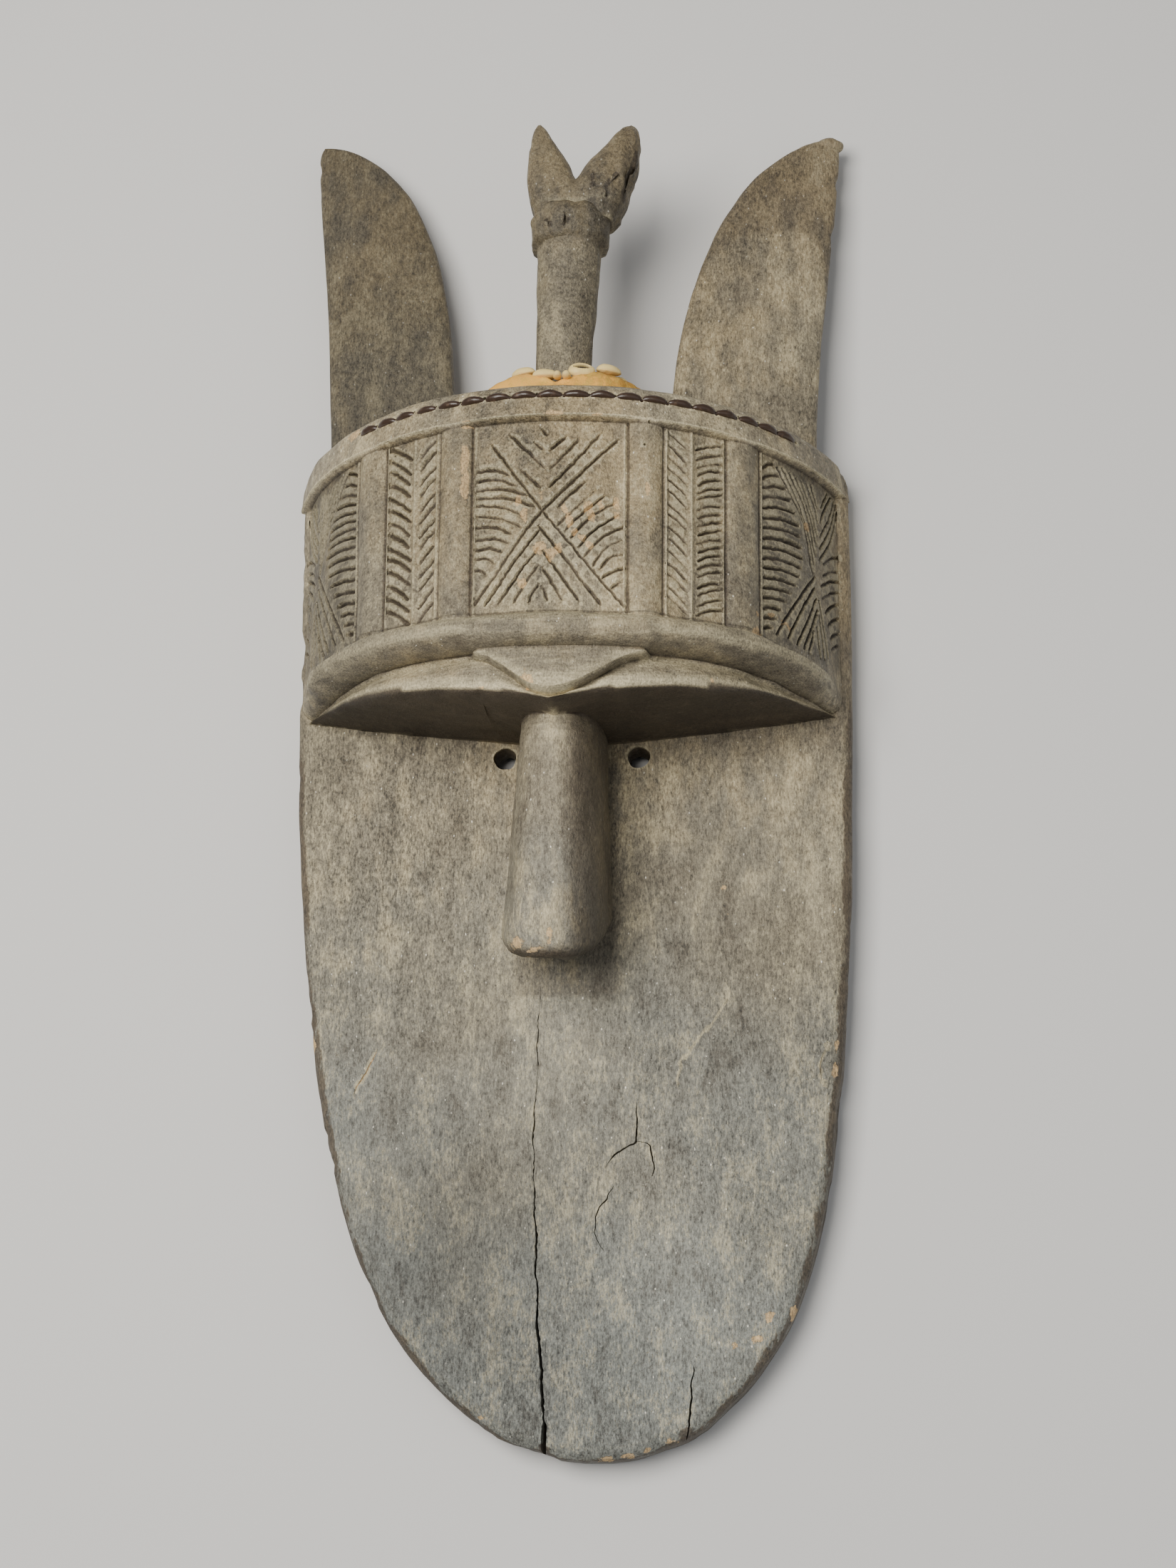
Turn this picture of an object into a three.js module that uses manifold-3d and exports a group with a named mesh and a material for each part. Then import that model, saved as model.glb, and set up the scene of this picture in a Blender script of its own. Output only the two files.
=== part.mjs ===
// A tall carved wooden face mask with a half-round forehead, two horns and a crest post,
// lying on its back. Millimetres, X to the right of the face, Y from the chin up to the
// horns, Z from the back of the board forwards.
import * as THREE from "three";
import { mergeVertices } from "three/addons/utils/BufferGeometryUtils.js";
import Module from "manifold-3d";

const wasm = await Module();
wasm.setup();

// Face board. Heights are measured from the chin tip, half widths from the middle line.
const boardThickness = 34;
const boardTop = 676;
const boardHalfWidths = [
  [0, 6], [5, 22], [10, 42], [15, 58.5], [22, 70], [32, 83], [50, 102], [75, 121.5], [100, 135.5], [140, 150.5],
  [180, 161], [240, 171.5], [300, 179], [360, 184], [450, 189], [560, 191.5], [655, 192.3],
];
const boardEdge = [[0, 2], [3, 0], [26, 0], [31, 2.5], [boardThickness, 8]];
const boardCorner = 16;
const chinShift = 16;
const chinShiftTop = 450;
const levelSlope = -0.02;

// Hollow behind the face and the deeper pocket behind the forehead.
const backRim = 27;
const hollowDepth = 14;
const hollowTop = 640;
const pocketBottom = 512;
const pocketTop = 635;
const pocketHalfWidth = 132;
const pocketDepth = 118;
const pocketSteps = 14;

// Forehead drum: a circle section over a fixed chord, a little shallower at the top.
const drumHalfChord = 185;
const drumLowHeight = 505;
const drumLowDepth = 138;
const drumDepthLoss = 0.055;
const drumMiddle = -1.5;
const drumEndAngle = 74;
const drumRoot = 8;

// Columns of the frieze, in degrees from the middle of the drum.
const centrePanelEdge = 15;
const innerRibEdge = 21.8;
const herringboneMiddle = 27.6;
const outerRibStart = 35;
const sidePanelStart = 43;
const sidePanelEnd = 71;
const ribHeight = 4.5;

// Levels of the drum at its middle.
const rimLow = 489;
const rimHigh = 510;
const rimProud = 8;
const panelLow = 513;
const panelHigh = 648;
const bandProud = 4.5;
const lacingLevel = 665;
const drumBevelDepth = 6;

// Brow lobes and the keel between them.
const lobeRecess = 13;
const lipMiddle = 455;
const lipRise = 22;
const lipBend = 43;
const undersideMiddle = 469;
const undersideRise = 18;
const keelTip = 460;
const keelHalfAngle = 18;
const keelProud = -3;

// Carved lines of the frieze.
const grooveWidth = 3.2;
const grooveDepth = 2;
const grooveLift = 1.5;
const grooveStep = 8;
const herringboneStrokes = 10;

// Nose.
const noseTop = 478;
const noseBottom = 322;
const noseMiddleTop = -1.5;
const noseMiddleBottom = -6;
const noseHalfWidthTop = 27;
const noseHalfWidthBottom = 34;
const noseDepthTop = 95;
const noseDepthBottom = 89;
const noseUndercut = 23;

// Eye holes.
const eyeSpacing = 91;
const eyeHeight = 460;
const eyeDiameter = 14;

// Horns: one flat blade at each side, each with its own outline.
const leftHorn = {
  side: -1, length: 278, outerFoot: 171, outerTip: 196, innerFoot: 84, tip: 189, curve: 2.7, bow: 0,
};
const rightHorn = {
  side: 1, length: 262, outerFoot: 172, outerTip: 199, innerFoot: 70, tip: 193, curve: 2.1, bow: 0,
};
const hornThickness = 24;
const hornTipThickness = 13;
const hornDepth = 40;
const hornLeanBack = 4;
const hornRings = 10;
const hornKnobRadius = 11;

// Crest post, its collar and its two prongs. Prong rows: height, inner edge, outer edge and
// half depth.
const postFoot = [-3.2, 86];
const postLeanRight = 3.1;
const postLeanForward = 4;
const postRadius = 17.5;
const postTopRadius = 22.5;
const postSwellStart = 45;
const collarStart = 134;
const collarHeight = 31;
const collarRadius = 28.3;
const postSides = 14;
const leftProng = [
  [830, 24, -19, 18], [848, 22, -23.5, 19], [864, 9.9, -25.4, 17], [876, 4.5, -25.2, 14.5],
  [893, -5, -23.8, 10.5], [904.5, -11, -21.5, 7], [910, -15, -18.5, 3.5],
];
const rightProng = [
  [830, -4, 35, 18], [848, -2, 45, 20], [864, 9.9, 50.5, 19], [875, 17.5, 53.2, 16.5],
  [889, 29, 55.2, 13], [900, 38.5, 55, 9], [906.5, 46.5, 52, 4.5],
];

// Leather pad and cowrie shells round the foot of the post.
const padShiftRight = 1.6;
const padInner = 20;
const padOuter = [60, 46];
const padHeight = 33;
const padDip = 15;
const padSteps = 24;
const shellRing = 35;
const shellShiftRight = 3;
const shellCount = 10;
const shellFirstTurn = 22;
const shellSpacing = 34.8;
const shellLength = 17;
const shellWidth = 12;
const shellHeight = 8;
const smallShellWidth = 5.2;
const smallShellLength = 9;
const smallShellRing = 41;
const shellSeat = 0.8;
const smallShellSeat = 2.2;
const touchGap = 0.35;

// Thong laced through the upper rim, from one angle of the drum to the other.
const stitchCount = 19;
const lacingStart = -42;
const lacingEnd = 52;
const thongWide = 3.4;
const thongNarrow = 2.1;
const channelRadius = 4;
const channelSteps = 20;

const radians = THREE.MathUtils.degToRad;
const lerp = THREE.MathUtils.lerp;
const clamp = THREE.MathUtils.clamp;

const wood = new THREE.MeshStandardMaterial({ color: 0x57524a, roughness: 0.8, metalness: 0 });
const leather = new THREE.MeshStandardMaterial({ color: 0xa8763f, roughness: 0.7, metalness: 0 });
const shell = new THREE.MeshStandardMaterial({ color: 0xe6d7b4, roughness: 0.4, metalness: 0 });
const thong = new THREE.MeshStandardMaterial({ color: 0x3a2c24, roughness: 0.45, metalness: 0 });

// A closed mesh from rings of equal count. The ends are closed by flat or nearly flat caps,
// or the last ring is joined to the first where the form is itself a ring.
function loft(rings, joinEnds = false) {
  const count = rings[0].length;
  const positions = rings.flat().flatMap((point) => [point.x, point.y, point.z]);
  const index = [];
  const spans = joinEnds ? rings.length : rings.length - 1;
  for (let ring = 0; ring < spans; ring += 1) {
    const next = (ring + 1) % rings.length;
    for (let side = 0; side < count; side += 1) {
      const after = (side + 1) % count;
      const a = ring * count + side;
      const b = ring * count + after;
      const c = next * count + after;
      const d = next * count + side;
      index.push(a, b, c, a, c, d);
    }
  }
  if (!joinEnds) {
    const last = (rings.length - 1) * count;
    for (const [a, b, c] of capTriangles(rings[0])) {
      index.push(c, b, a);
    }
    for (const [a, b, c] of capTriangles(rings[rings.length - 1])) {
      index.push(last + a, last + b, last + c);
    }
  }
  const geometry = new THREE.BufferGeometry();
  geometry.setAttribute("position", new THREE.Float32BufferAttribute(positions, 3));
  geometry.setIndex(index);
  return geometry;
}

// Triangles of a ring seen along its own normal, which also serve a ring that isn't convex.
function capTriangles(ring) {
  const normal = new THREE.Vector3();
  ring.forEach((point, i) => {
    const next = ring[(i + 1) % ring.length];
    normal.x += (point.y - next.y) * (point.z + next.z);
    normal.y += (point.z - next.z) * (point.x + next.x);
    normal.z += (point.x - next.x) * (point.y + next.y);
  });
  normal.normalize();
  const across = new THREE.Vector3(normal.y, normal.z, normal.x).cross(normal).normalize();
  const up = new THREE.Vector3().crossVectors(normal, across);
  const flat = ring.map((point) => new THREE.Vector2(point.dot(across), point.dot(up)));
  return THREE.ShapeUtils.triangulateShape(flat, []);
}

// A solid for joining and cutting. A mesh that was built inside out is turned.
function solid(geometry) {
  const bare = geometry.clone();
  bare.deleteAttribute("normal");
  bare.deleteAttribute("uv");
  const merged = mergeVertices(bare, 1e-4);
  const index = Array.from(merged.index.array);
  const points = merged.attributes.position.array;
  if (signedVolume(points, index) < 0) {
    for (let i = 0; i < index.length; i += 3) {
      [index[i + 1], index[i + 2]] = [index[i + 2], index[i + 1]];
    }
  }
  return new wasm.Manifold(new wasm.Mesh({
    numProp: 3,
    vertProperties: new Float32Array(points),
    triVerts: new Uint32Array(index),
  }));
}

function signedVolume(points, index) {
  let volume = 0;
  const corner = [new THREE.Vector3(), new THREE.Vector3(), new THREE.Vector3()];
  for (let i = 0; i < index.length; i += 3) {
    corner.forEach((point, k) => point.fromArray(points, index[i + k] * 3));
    volume += corner[0].dot(corner[1].clone().cross(corner[2])) / 6;
  }
  return volume;
}

function meshOf(body, name, material) {
  const result = body.getMesh();
  const geometry = new THREE.BufferGeometry();
  geometry.setAttribute("position", new THREE.BufferAttribute(new Float32Array(result.vertProperties), 3));
  geometry.setIndex(new THREE.BufferAttribute(new Uint32Array(result.triVerts), 1));
  geometry.computeVertexNormals();
  const mesh = new THREE.Mesh(geometry, material);
  mesh.name = name;
  return mesh;
}

// Right half of the board's outline from the chin up, moved inwards square to its own edge.
function boardSide(inset) {
  const edge = boardHalfWidths.map(([height, half]) => new THREE.Vector2(half, height));
  const last = edge[edge.length - 1].x;
  for (const turn of [30, 60, 90].map(radians)) {
    const x = last - boardCorner * (1 - Math.cos(turn));
    edge.push(new THREE.Vector2(x, boardTop - boardCorner * (1 - Math.sin(turn))));
  }
  return edge.map((point, i) => {
    const before = i === 0 ? new THREE.Vector2(-point.x, point.y) : edge[i - 1];
    const after = i === edge.length - 1 ? new THREE.Vector2(0, boardTop) : edge[i + 1];
    const along = after.clone().sub(before).normalize();
    return new THREE.Vector2(point.x - along.y * inset, point.y + along.x * inset);
  });
}

// Both sides of an outline as one ring. The chin leans to the right and the levels slope.
function wholeOutline(side, depth) {
  const place = (x, y) => {
    const shift = chinShift * Math.max(0, 1 - y / chinShiftTop) ** 2;
    return new THREE.Vector3(x + shift, y + levelSlope * x * (y / boardTop), depth);
  };
  const right = side.map((point) => place(point.x, point.y));
  const left = side.map((point) => place(-point.x, point.y));
  return [...right, ...left.reverse()];
}

function faceBoard() {
  return solid(loft(boardEdge.map(([depth, inset]) => wholeOutline(boardSide(inset), depth))));
}

// Shallow hollow behind the face. Its sides slope in, and its floor is flat.
function faceHollow() {
  const ring = (inset, top, depth) => {
    const side = boardSide(inset).slice(1, boardHalfWidths.length);
    side[side.length - 1].y = top;
    return wholeOutline(side, depth);
  };
  const floor = ring(backRim + hollowDepth, hollowTop - hollowDepth, hollowDepth);
  return solid(loft([ring(backRim, hollowTop, -1), ring(backRim, hollowTop, 0), floor]));
}

// Pocket behind the forehead, half an ellipse in section with rounded ends.
function foreheadPocket() {
  const section = (height, scale) => {
    const ring = [];
    for (let step = 0; step <= pocketSteps; step += 1) {
      const angle = Math.PI * (step / pocketSteps);
      const x = -Math.cos(angle) * pocketHalfWidth * scale;
      ring.push(new THREE.Vector3(x, height, Math.sin(angle) * pocketDepth * scale + 2));
    }
    return ring;
  };
  const middle = (pocketBottom + pocketTop) / 2;
  const half = (pocketTop - pocketBottom) / 2;
  const rings = [-1, -0.85, -0.5, 0.5, 0.85, 1].map((t) => {
    const scale = 1 - 0.22 * Math.abs(t) ** 4;
    return section(middle + half * t, scale);
  });
  return solid(loft(rings));
}

// Circle of the drum at a height: its radius and the depth of its centre.
function drumCircle(height) {
  const depth = drumLowDepth - (height - drumLowHeight) * drumDepthLoss;
  const radius = (drumHalfChord ** 2 + depth ** 2) / (2 * depth);
  return { radius, centre: boardThickness + depth - radius };
}

// A point on the drum, with an angle in degrees and how proud of the panels it stands.
function onDrum(angle, height, proud) {
  const { radius, centre } = drumCircle(height);
  const x = drumMiddle + (radius + proud) * Math.sin(radians(angle));
  const z = centre + (radius + proud) * Math.cos(radians(angle));
  return new THREE.Vector3(x, height + levelSlope * x, z);
}

function smooth(t) {
  const s = clamp(t, 0, 1);
  return s * s * (3 - 2 * s);
}

// Levels that change along the brow, by angle.
const endDrop = (angle) => smooth((Math.abs(angle) - 46) / 28);
const rimLowAt = (angle) => rimLow + 3 * smooth(Math.abs(angle) / 40) - 2 * endDrop(angle);
const rimHighAt = (angle) => rimHigh + 2.5 * smooth(Math.abs(angle) / 40) - 11 * endDrop(angle);
const lipAt = (angle) => {
  const place = Math.abs(angle);
  const inner = lipRise * Math.min(1, place / lipBend) ** 0.8;
  return lipMiddle + inner + Math.max(0, place - lipBend) * 0.3;
};
const undersideAt = (x) => undersideMiddle + undersideRise * Math.abs(x / 180) ** 1.3;
const keelLow = (angle) => {
  const reach = clamp(Math.abs(angle) / keelHalfAngle, 0, 1);
  return lerp(keelTip, rimLowAt(angle) - 1, Math.sin(reach * Math.PI / 2) ** 2);
};

// How far a vertical rib stands above the panels at an angle.
function ribAt(angle) {
  const bands = [[centrePanelEdge, innerRibEdge], [outerRibStart, sidePanelStart]];
  const place = Math.abs(angle);
  for (const [start, end] of bands) {
    if (place > start && place < end) {
      const t = (place - start) / (end - start);
      return ribHeight * Math.sin(Math.PI * t) ** 0.45;
    }
  }
  return 0;
}

function drumAngles() {
  const half = [0, 4, 8, 11.5, centrePanelEdge];
  const rib = (start, end) => [0.08, 0.35, 0.65, 0.92, 1].map((t) => lerp(start, end, t));
  half.push(...rib(centrePanelEdge, innerRibEdge), herringboneMiddle, outerRibStart);
  half.push(...rib(outerRibStart, sidePanelStart), 48.5, 54.5, 60.5, 66, sidePanelEnd, drumEndAngle);
  return [...half.slice(1).reverse().map((angle) => -angle), ...half];
}

// One closed profile of the drum at an angle, from its root under the brow round to its top.
function drumProfile(angle) {
  const fade = 1 - smooth((Math.abs(angle) - 64) / 10);
  const recess = lobeRecess * fade;
  const inKeel = Math.abs(angle) < keelHalfAngle;
  const keelEdge = inKeel ? keelLow(angle) : rimLowAt(angle) - 1;
  const lip = lipAt(angle);
  const lobeTop = Math.max(keelEdge - 1.2, lip + 2);
  const crest = lerp(lip, lobeTop, 0.35);
  const rib = ribAt(angle);
  const rows = [
    [lip, -recess - 4],
    [crest, -recess + 2.2],
    [lobeTop, -recess - 1.5],
    [Math.max(keelEdge, lobeTop + 0.6), inKeel ? keelProud : -recess - 1],
    [rimLowAt(angle), inKeel ? keelProud - 2 : -recess + 2],
    [rimLowAt(angle) + 2, rimProud * 0.55 * fade],
    [rimLowAt(angle) + 8, rimProud * fade],
    [rimHighAt(angle) - 3, (rimProud - 2.5) * fade],
    [rimHighAt(angle), 1.5 * fade + rib * 0.4],
    [rimHighAt(angle) + 1.5, rib],
    [panelHigh, rib],
    [panelHigh + 1.5, bandProud],
    [lacingLevel - 1, bandProud],
    [lacingLevel + 2, bandProud - 1.5],
    [boardTop, -drumBevelDepth],
  ];
  const front = rows.map(([height, proud]) => onDrum(angle, height, proud));
  const x = onDrum(angle, drumLowHeight, 0).x;
  const underside = new THREE.Vector3(x, undersideAt(x) + levelSlope * x, drumRoot);
  const top = new THREE.Vector3(x, boardTop + levelSlope * x, drumRoot);
  front[front.length - 1].y = top.y;
  return [underside, ...front, top];
}

function drum() {
  return solid(loft(drumAngles().map(drumProfile)));
}

// A carved line: a wedge that follows corners given as angle and height on the drum. Long
// stretches are divided so that the wedge follows the curve.
function groove(corners) {
  const points = [corners[0]];
  corners.slice(1).forEach(([angle, height], i) => {
    const [fromAngle, fromHeight] = corners[i];
    const parts = Math.ceil(Math.abs(angle - fromAngle) / grooveStep);
    for (let part = 1; part <= Math.max(parts, 1); part += 1) {
      const t = part / Math.max(parts, 1);
      points.push([lerp(fromAngle, angle, t), lerp(fromHeight, height, t)]);
    }
  });
  const path = points.map(([angle, height]) => onDrum(angle, height, 0));
  const rings = path.map((point, i) => {
    const angle = radians(points[i][0]);
    const out = new THREE.Vector3(Math.sin(angle), 0, Math.cos(angle));
    const along = path[Math.min(i + 1, path.length - 1)].clone().sub(path[Math.max(i - 1, 0)]).normalize();
    const side = new THREE.Vector3().crossVectors(out, along).normalize();
    const width = grooveWidth / 2 * (1 + grooveLift / grooveDepth);
    return [
      point.clone().addScaledVector(out, -grooveDepth),
      point.clone().addScaledVector(out, grooveLift).addScaledVector(side, width),
      point.clone().addScaledVector(out, grooveLift).addScaledVector(side, -width),
    ];
  });
  return solid(loft(rings));
}

// Lines of the middle panel: a cross, chevrons above and below it, and bows at its sides.
// Places run from -1 to 1 across and up the panel.
function middlePanelLines() {
  const lines = [
    [[-0.73, 0.78], [-0.08, 0.04], [0.96, -0.96]],
    [[0.87, 0.8], [-0.08, 0.04], [-0.96, -0.92]],
  ];
  lines.push([[-0.57, 0.96], [-0.02, 0.48], [0.4, 0.85]], [[-0.35, 0.5], [-0.05, 0.25], [0.58, 0.9]]);
  for (const [apex, left, right] of [[-0.17, -0.82, 0.7], [-0.4, -0.64, 0.4], [-0.62, -0.42, 0.2]]) {
    lines.push([[left, -0.95], [-0.1, apex], [right, -0.95]]);
  }
  for (let bow = 0; bow < 6; bow += 1) {
    const start = 0.3 - bow * 0.15;
    const inner = -0.33 - bow * 0.088;
    const end = start - 0.19 + bow * 0.012;
    lines.push([[-0.97, start], [lerp(-0.97, inner, 0.55), start - 0.035], [inner, end]]);
  }
  for (let bow = 0; bow < 7; bow += 1) {
    const low = -0.05 - bow * 0.125;
    const inner = 0.15 + bow * 0.105;
    const end = [Math.min(0.97, 0.5 + bow * 0.17), 0.32 - bow * 0.17];
    lines.push([[inner, low], [lerp(inner, end[0], 0.45), lerp(low, end[1], 0.62)], end]);
  }
  return lines;
}

// Lines of a side panel: short strokes along its inner border, fans above and below a
// crossing, and small bows by its outer border. Places run from the inner border outwards.
function sidePanelLines() {
  const lines = [
    [[-0.64, 0.97], [-0.35, 0.7], [-0.06, 0.46], [0.22, -0.06]],
    [[-0.38, 0.97], [0.06, 0.57], [0.31, 0.11], [0.7, 0.45], [0.95, 0.92]],
    [[0, 0.95], [0.34, 0.4], [0.86, 0.95]],
    [[0.28, -0.08], [-0.05, -0.34], [-0.61, -0.94]],
    [[0.3, -0.24], [-0.44, -0.97]],
    [[-0.2, -0.97], [0.32, -0.33], [0.58, -0.95]],
    [[0.05, -0.97], [0.22, -0.62], [0.34, -0.97]],
  ];
  const strokes = 10;
  for (let stroke = 0; stroke < strokes; stroke += 1) {
    const start = lerp(0.76, -0.9, stroke / (strokes - 1));
    const inner = -0.48 + 0.3 * Math.sin(Math.PI * stroke / (strokes - 1));
    const rise = lerp(0.16, 0.03, stroke / (strokes - 1));
    lines.push([[-0.97, start], [inner, start + rise]]);
  }
  for (let bow = 0; bow < 6; bow += 1) {
    const start = 0.1 - bow * 0.16;
    lines.push([[0.47 + bow * 0.04, start], [0.93, start + 0.2]]);
  }
  return lines;
}

function friezeGrooves() {
  const low = panelLow + 2;
  const high = panelHigh - 3;
  const lines = [];
  const panel = (pattern, from, to) => {
    const place = ([u, v]) => [lerp(from, to, (u + 1) / 2), lerp(low, high, (v + 1) / 2)];
    lines.push(...pattern.map((line) => line.map(place)));
  };
  panel(middlePanelLines(), -centrePanelEdge, centrePanelEdge);
  panel(sidePanelLines(), -sidePanelStart - 0.4, -sidePanelEnd);
  panel(sidePanelLines(), sidePanelStart + 0.4, sidePanelEnd);
  const gap = 0.6;
  const inner = [innerRibEdge + gap, herringboneMiddle - gap];
  const outer = [herringboneMiddle + gap, outerRibStart - gap];
  const columns = [[-1, inner, 10.5], [-1, outer, 14], [1, inner, 10.5], [1, outer, 9]];
  for (const [side, [start, end], slant] of columns) {
    const direction = start < herringboneMiddle && end < herringboneMiddle ? 1 : -1;
    for (let stroke = 0; stroke < herringboneStrokes; stroke += 1) {
      const height = lerp(low + 6, high - 6, stroke / (herringboneStrokes - 1));
      const rise = direction * slant / 2;
      lines.push([[side * start, height + rise], [side * end, height - rise]]);
    }
  }
  for (const side of [-1, 1]) {
    lines.push([[side * herringboneMiddle, low - 1], [side * herringboneMiddle, high + 1]]);
  }
  return lines.map(groove);
}

// Log-shaped nose: half a rounded box in section, its lower end cut back towards the board.
function nose() {
  const steps = 9;
  const section = (t, scale, drop) => {
    const height = lerp(noseTop, noseBottom, t);
    const middle = lerp(noseMiddleTop, noseMiddleBottom, t);
    const half = lerp(noseHalfWidthTop, noseHalfWidthBottom, t) * scale;
    const depth = lerp(noseDepthTop, noseDepthBottom, t) * scale;
    const ring = [new THREE.Vector3(middle + half, height, boardThickness - 10)];
    for (let step = 0; step <= steps; step += 1) {
      const angle = Math.PI * (step / steps);
      const swell = Math.sin(angle) ** 0.7;
      const fall = noseUndercut * drop * swell;
      const across = Math.sign(Math.cos(angle)) * Math.abs(Math.cos(angle)) ** 0.9;
      ring.push(new THREE.Vector3(middle + half * across, height - fall, boardThickness + depth * swell));
    }
    ring.push(new THREE.Vector3(middle - half, height, boardThickness - 10));
    return ring;
  };
  const rings = [
    section(0, 1, 0), section(0.4, 1.01, 0), section(0.72, 1.01, 0.3), section(0.93, 1, 0.85),
    section(0.985, 0.97, 1), section(1, 0.91, 1),
  ];
  return solid(loft(rings));
}

function eyeHole(side) {
  const geometry = new THREE.CylinderGeometry(eyeDiameter / 2, eyeDiameter / 2, boardThickness + 10, 14);
  geometry.rotateX(Math.PI / 2);
  geometry.translate(side * eyeSpacing / 2, eyeHeight + levelSlope * side * eyeSpacing / 2, boardThickness / 2);
  return solid(geometry);
}

// A flat horn blade with rounded edges, lofted along its length.
function horn(form) {
  const rings = [];
  const start = -16;
  const roundedEnd = 14;
  for (let step = 0; step < hornRings; step += 1) {
    const t = Math.sin((step / (hornRings - 1)) * Math.PI / 2 * 0.985);
    const along = lerp(start, form.length, t);
    const share = clamp(along / form.length, 0, 1);
    const outer = lerp(form.outerFoot, form.outerTip, share ** 1.4);
    const bend = 1 - Math.sqrt(Math.max(0, 1 - share ** form.curve));
    const swell = form.bow * Math.sin(Math.PI * Math.min(1, share * 1.6)) / 2;
    const inner = lerp(form.innerFoot, form.tip, bend) + swell;
    const rounding = Math.sqrt(Math.max(0, 1 - share ** roundedEnd));
    const outerEdge = lerp(form.tip, outer, rounding);
    const centre = (outerEdge + inner) / 2;
    const half = Math.max((outerEdge - inner) / 2, 2.5);
    const thick = lerp(hornThickness, hornTipThickness, share) / 2 * lerp(0.55, 1, rounding);
    const depth = hornDepth - Math.tan(radians(hornLeanBack)) * along;
    rings.push(bladeRing(form.side * centre, boardTop + along, depth, half, thick));
  }
  return solid(loft(rings));
}

// Rounded flat section, square to the mask's height.
function bladeRing(x, y, z, half, thick) {
  const corners = [
    [1, 0], [0.9, 0.75], [0.62, 1], [-0.62, 1], [-0.9, 0.75], [-1, 0], [-0.9, -0.75], [-0.62, -1], [0.62, -1],
    [0.9, -0.75],
  ];
  return corners.map(([u, v]) => new THREE.Vector3(x + u * half, y, z + v * thick));
}

function hornKnob() {
  const geometry = new THREE.SphereGeometry(hornKnobRadius, 9, 6);
  geometry.scale(1, 0.8, 0.6);
  const drop = Math.tan(radians(hornLeanBack)) * rightHorn.length;
  geometry.translate(rightHorn.tip - 1, boardTop + rightHorn.length - 3, hornDepth - drop);
  return solid(geometry);
}

// Point on the middle line of the post, at a length along it from the drum top.
function postPoint(along) {
  const x = postFoot[0] + Math.sin(radians(postLeanRight)) * along;
  const z = postFoot[1] + Math.sin(radians(postLeanForward)) * along;
  return new THREE.Vector3(x, boardTop + along, z);
}

function roundRing(centre, halfX, halfZ, sides) {
  return Array.from({ length: sides }, (_, i) => {
    const angle = (i / sides) * 2 * Math.PI;
    return new THREE.Vector3(centre.x + halfX * Math.cos(angle), centre.y, centre.z - halfZ * Math.sin(angle));
  });
}

function post() {
  const collarEnd = collarStart + collarHeight;
  const stations = [
    [-14, postRadius], [postSwellStart, postRadius], [(postSwellStart + collarStart) / 2, postRadius + 3],
    [collarStart, postTopRadius], [collarStart + 2, collarRadius - 2], [collarStart + 10, collarRadius],
    [collarEnd - 10, collarRadius - 0.6], [collarEnd - 1, collarRadius - 4.5], [collarEnd + 3, collarRadius - 10],
  ];
  return solid(loft(stations.map(([along, radius]) => {
    return roundRing(postPoint(along), radius, radius * 0.92, postSides);
  })));
}

// A prong of the fork above the collar, from rows of its measured edges. The two prongs are
// one block up to the notch.
function prong(rows) {
  return solid(loft(rows.map(([height, inner, outer, halfDepth]) => {
    const centre = (inner + outer) / 2;
    const half = Math.abs(outer - inner) / 2;
    return bladeRing(centre, height, postPoint(height - boardTop).z, half, halfDepth);
  })));
}

// Middle line of the lacing, just under the sharp edge of the upper rim.
function lacingRings(steps, radiusAt) {
  return Array.from({ length: steps + 1 }, (_, i) => {
    const angle = lerp(lacingStart, lacingEnd, i / steps);
    const centre = onDrum(angle, lacingLevel + 1.5, bandProud - 0.5);
    const out = new THREE.Vector3(Math.sin(radians(angle)), 0, Math.cos(radians(angle)));
    const radius = radiusAt(i / steps);
    return Array.from({ length: 6 }, (_unused, k) => {
      const turn = (k / 6) * 2 * Math.PI + 0.3;
      return centre.clone()
        .addScaledVector(out, radius * Math.cos(turn))
        .add(new THREE.Vector3(0, radius * Math.sin(turn), 0));
    });
  });
}

function lacing() {
  const bulge = (t) => lerp(thongNarrow, thongWide, Math.abs(Math.sin(Math.PI * stitchCount * t)));
  return solid(loft(lacingRings(stitchCount * 2, bulge)));
}

// Pad height above the drum top at a turn round the post, lowest at the tie in front.
function padTopAt(turn) {
  return padHeight - padDip * Math.abs(Math.cos(turn / 2)) ** 26;
}

// A place on the pad, by its turn round the post, distance from its middle and height.
function onPad(turn, radius, height) {
  const foot = postPoint(0);
  const x = foot.x + padShiftRight + radius * Math.sin(turn) + Math.sin(radians(postLeanRight)) * height;
  const z = foot.z + radius * Math.cos(turn) + Math.sin(radians(postLeanForward)) * height;
  return new THREE.Vector3(x, boardTop + levelSlope * x + height, z);
}

function pad() {
  const rings = Array.from({ length: padSteps }, (_, i) => {
    const turn = (i / padSteps) * 2 * Math.PI;
    const reach = 1 / Math.hypot(Math.sin(turn) / padOuter[0], Math.cos(turn) / padOuter[1]);
    const top = padTopAt(turn);
    const section = [
      [padInner, touchGap], [reach - 3.5, touchGap], [reach, top * 0.3], [reach - 3.5, top * 0.78],
      [shellRing + 5, top], [shellRing - 8, top], [padInner + 1, top - 4],
    ];
    return section.map(([radius, height]) => onPad(turn, radius, height));
  });
  return solid(loft(rings, true));
}

// Pad height under a turn of the ring of shells, which sits a little to the right.
function padUnderShell(turn) {
  return padTopAt(Math.atan2(shellRing * Math.sin(turn) + shellShiftRight, shellRing * Math.cos(turn)));
}

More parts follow.
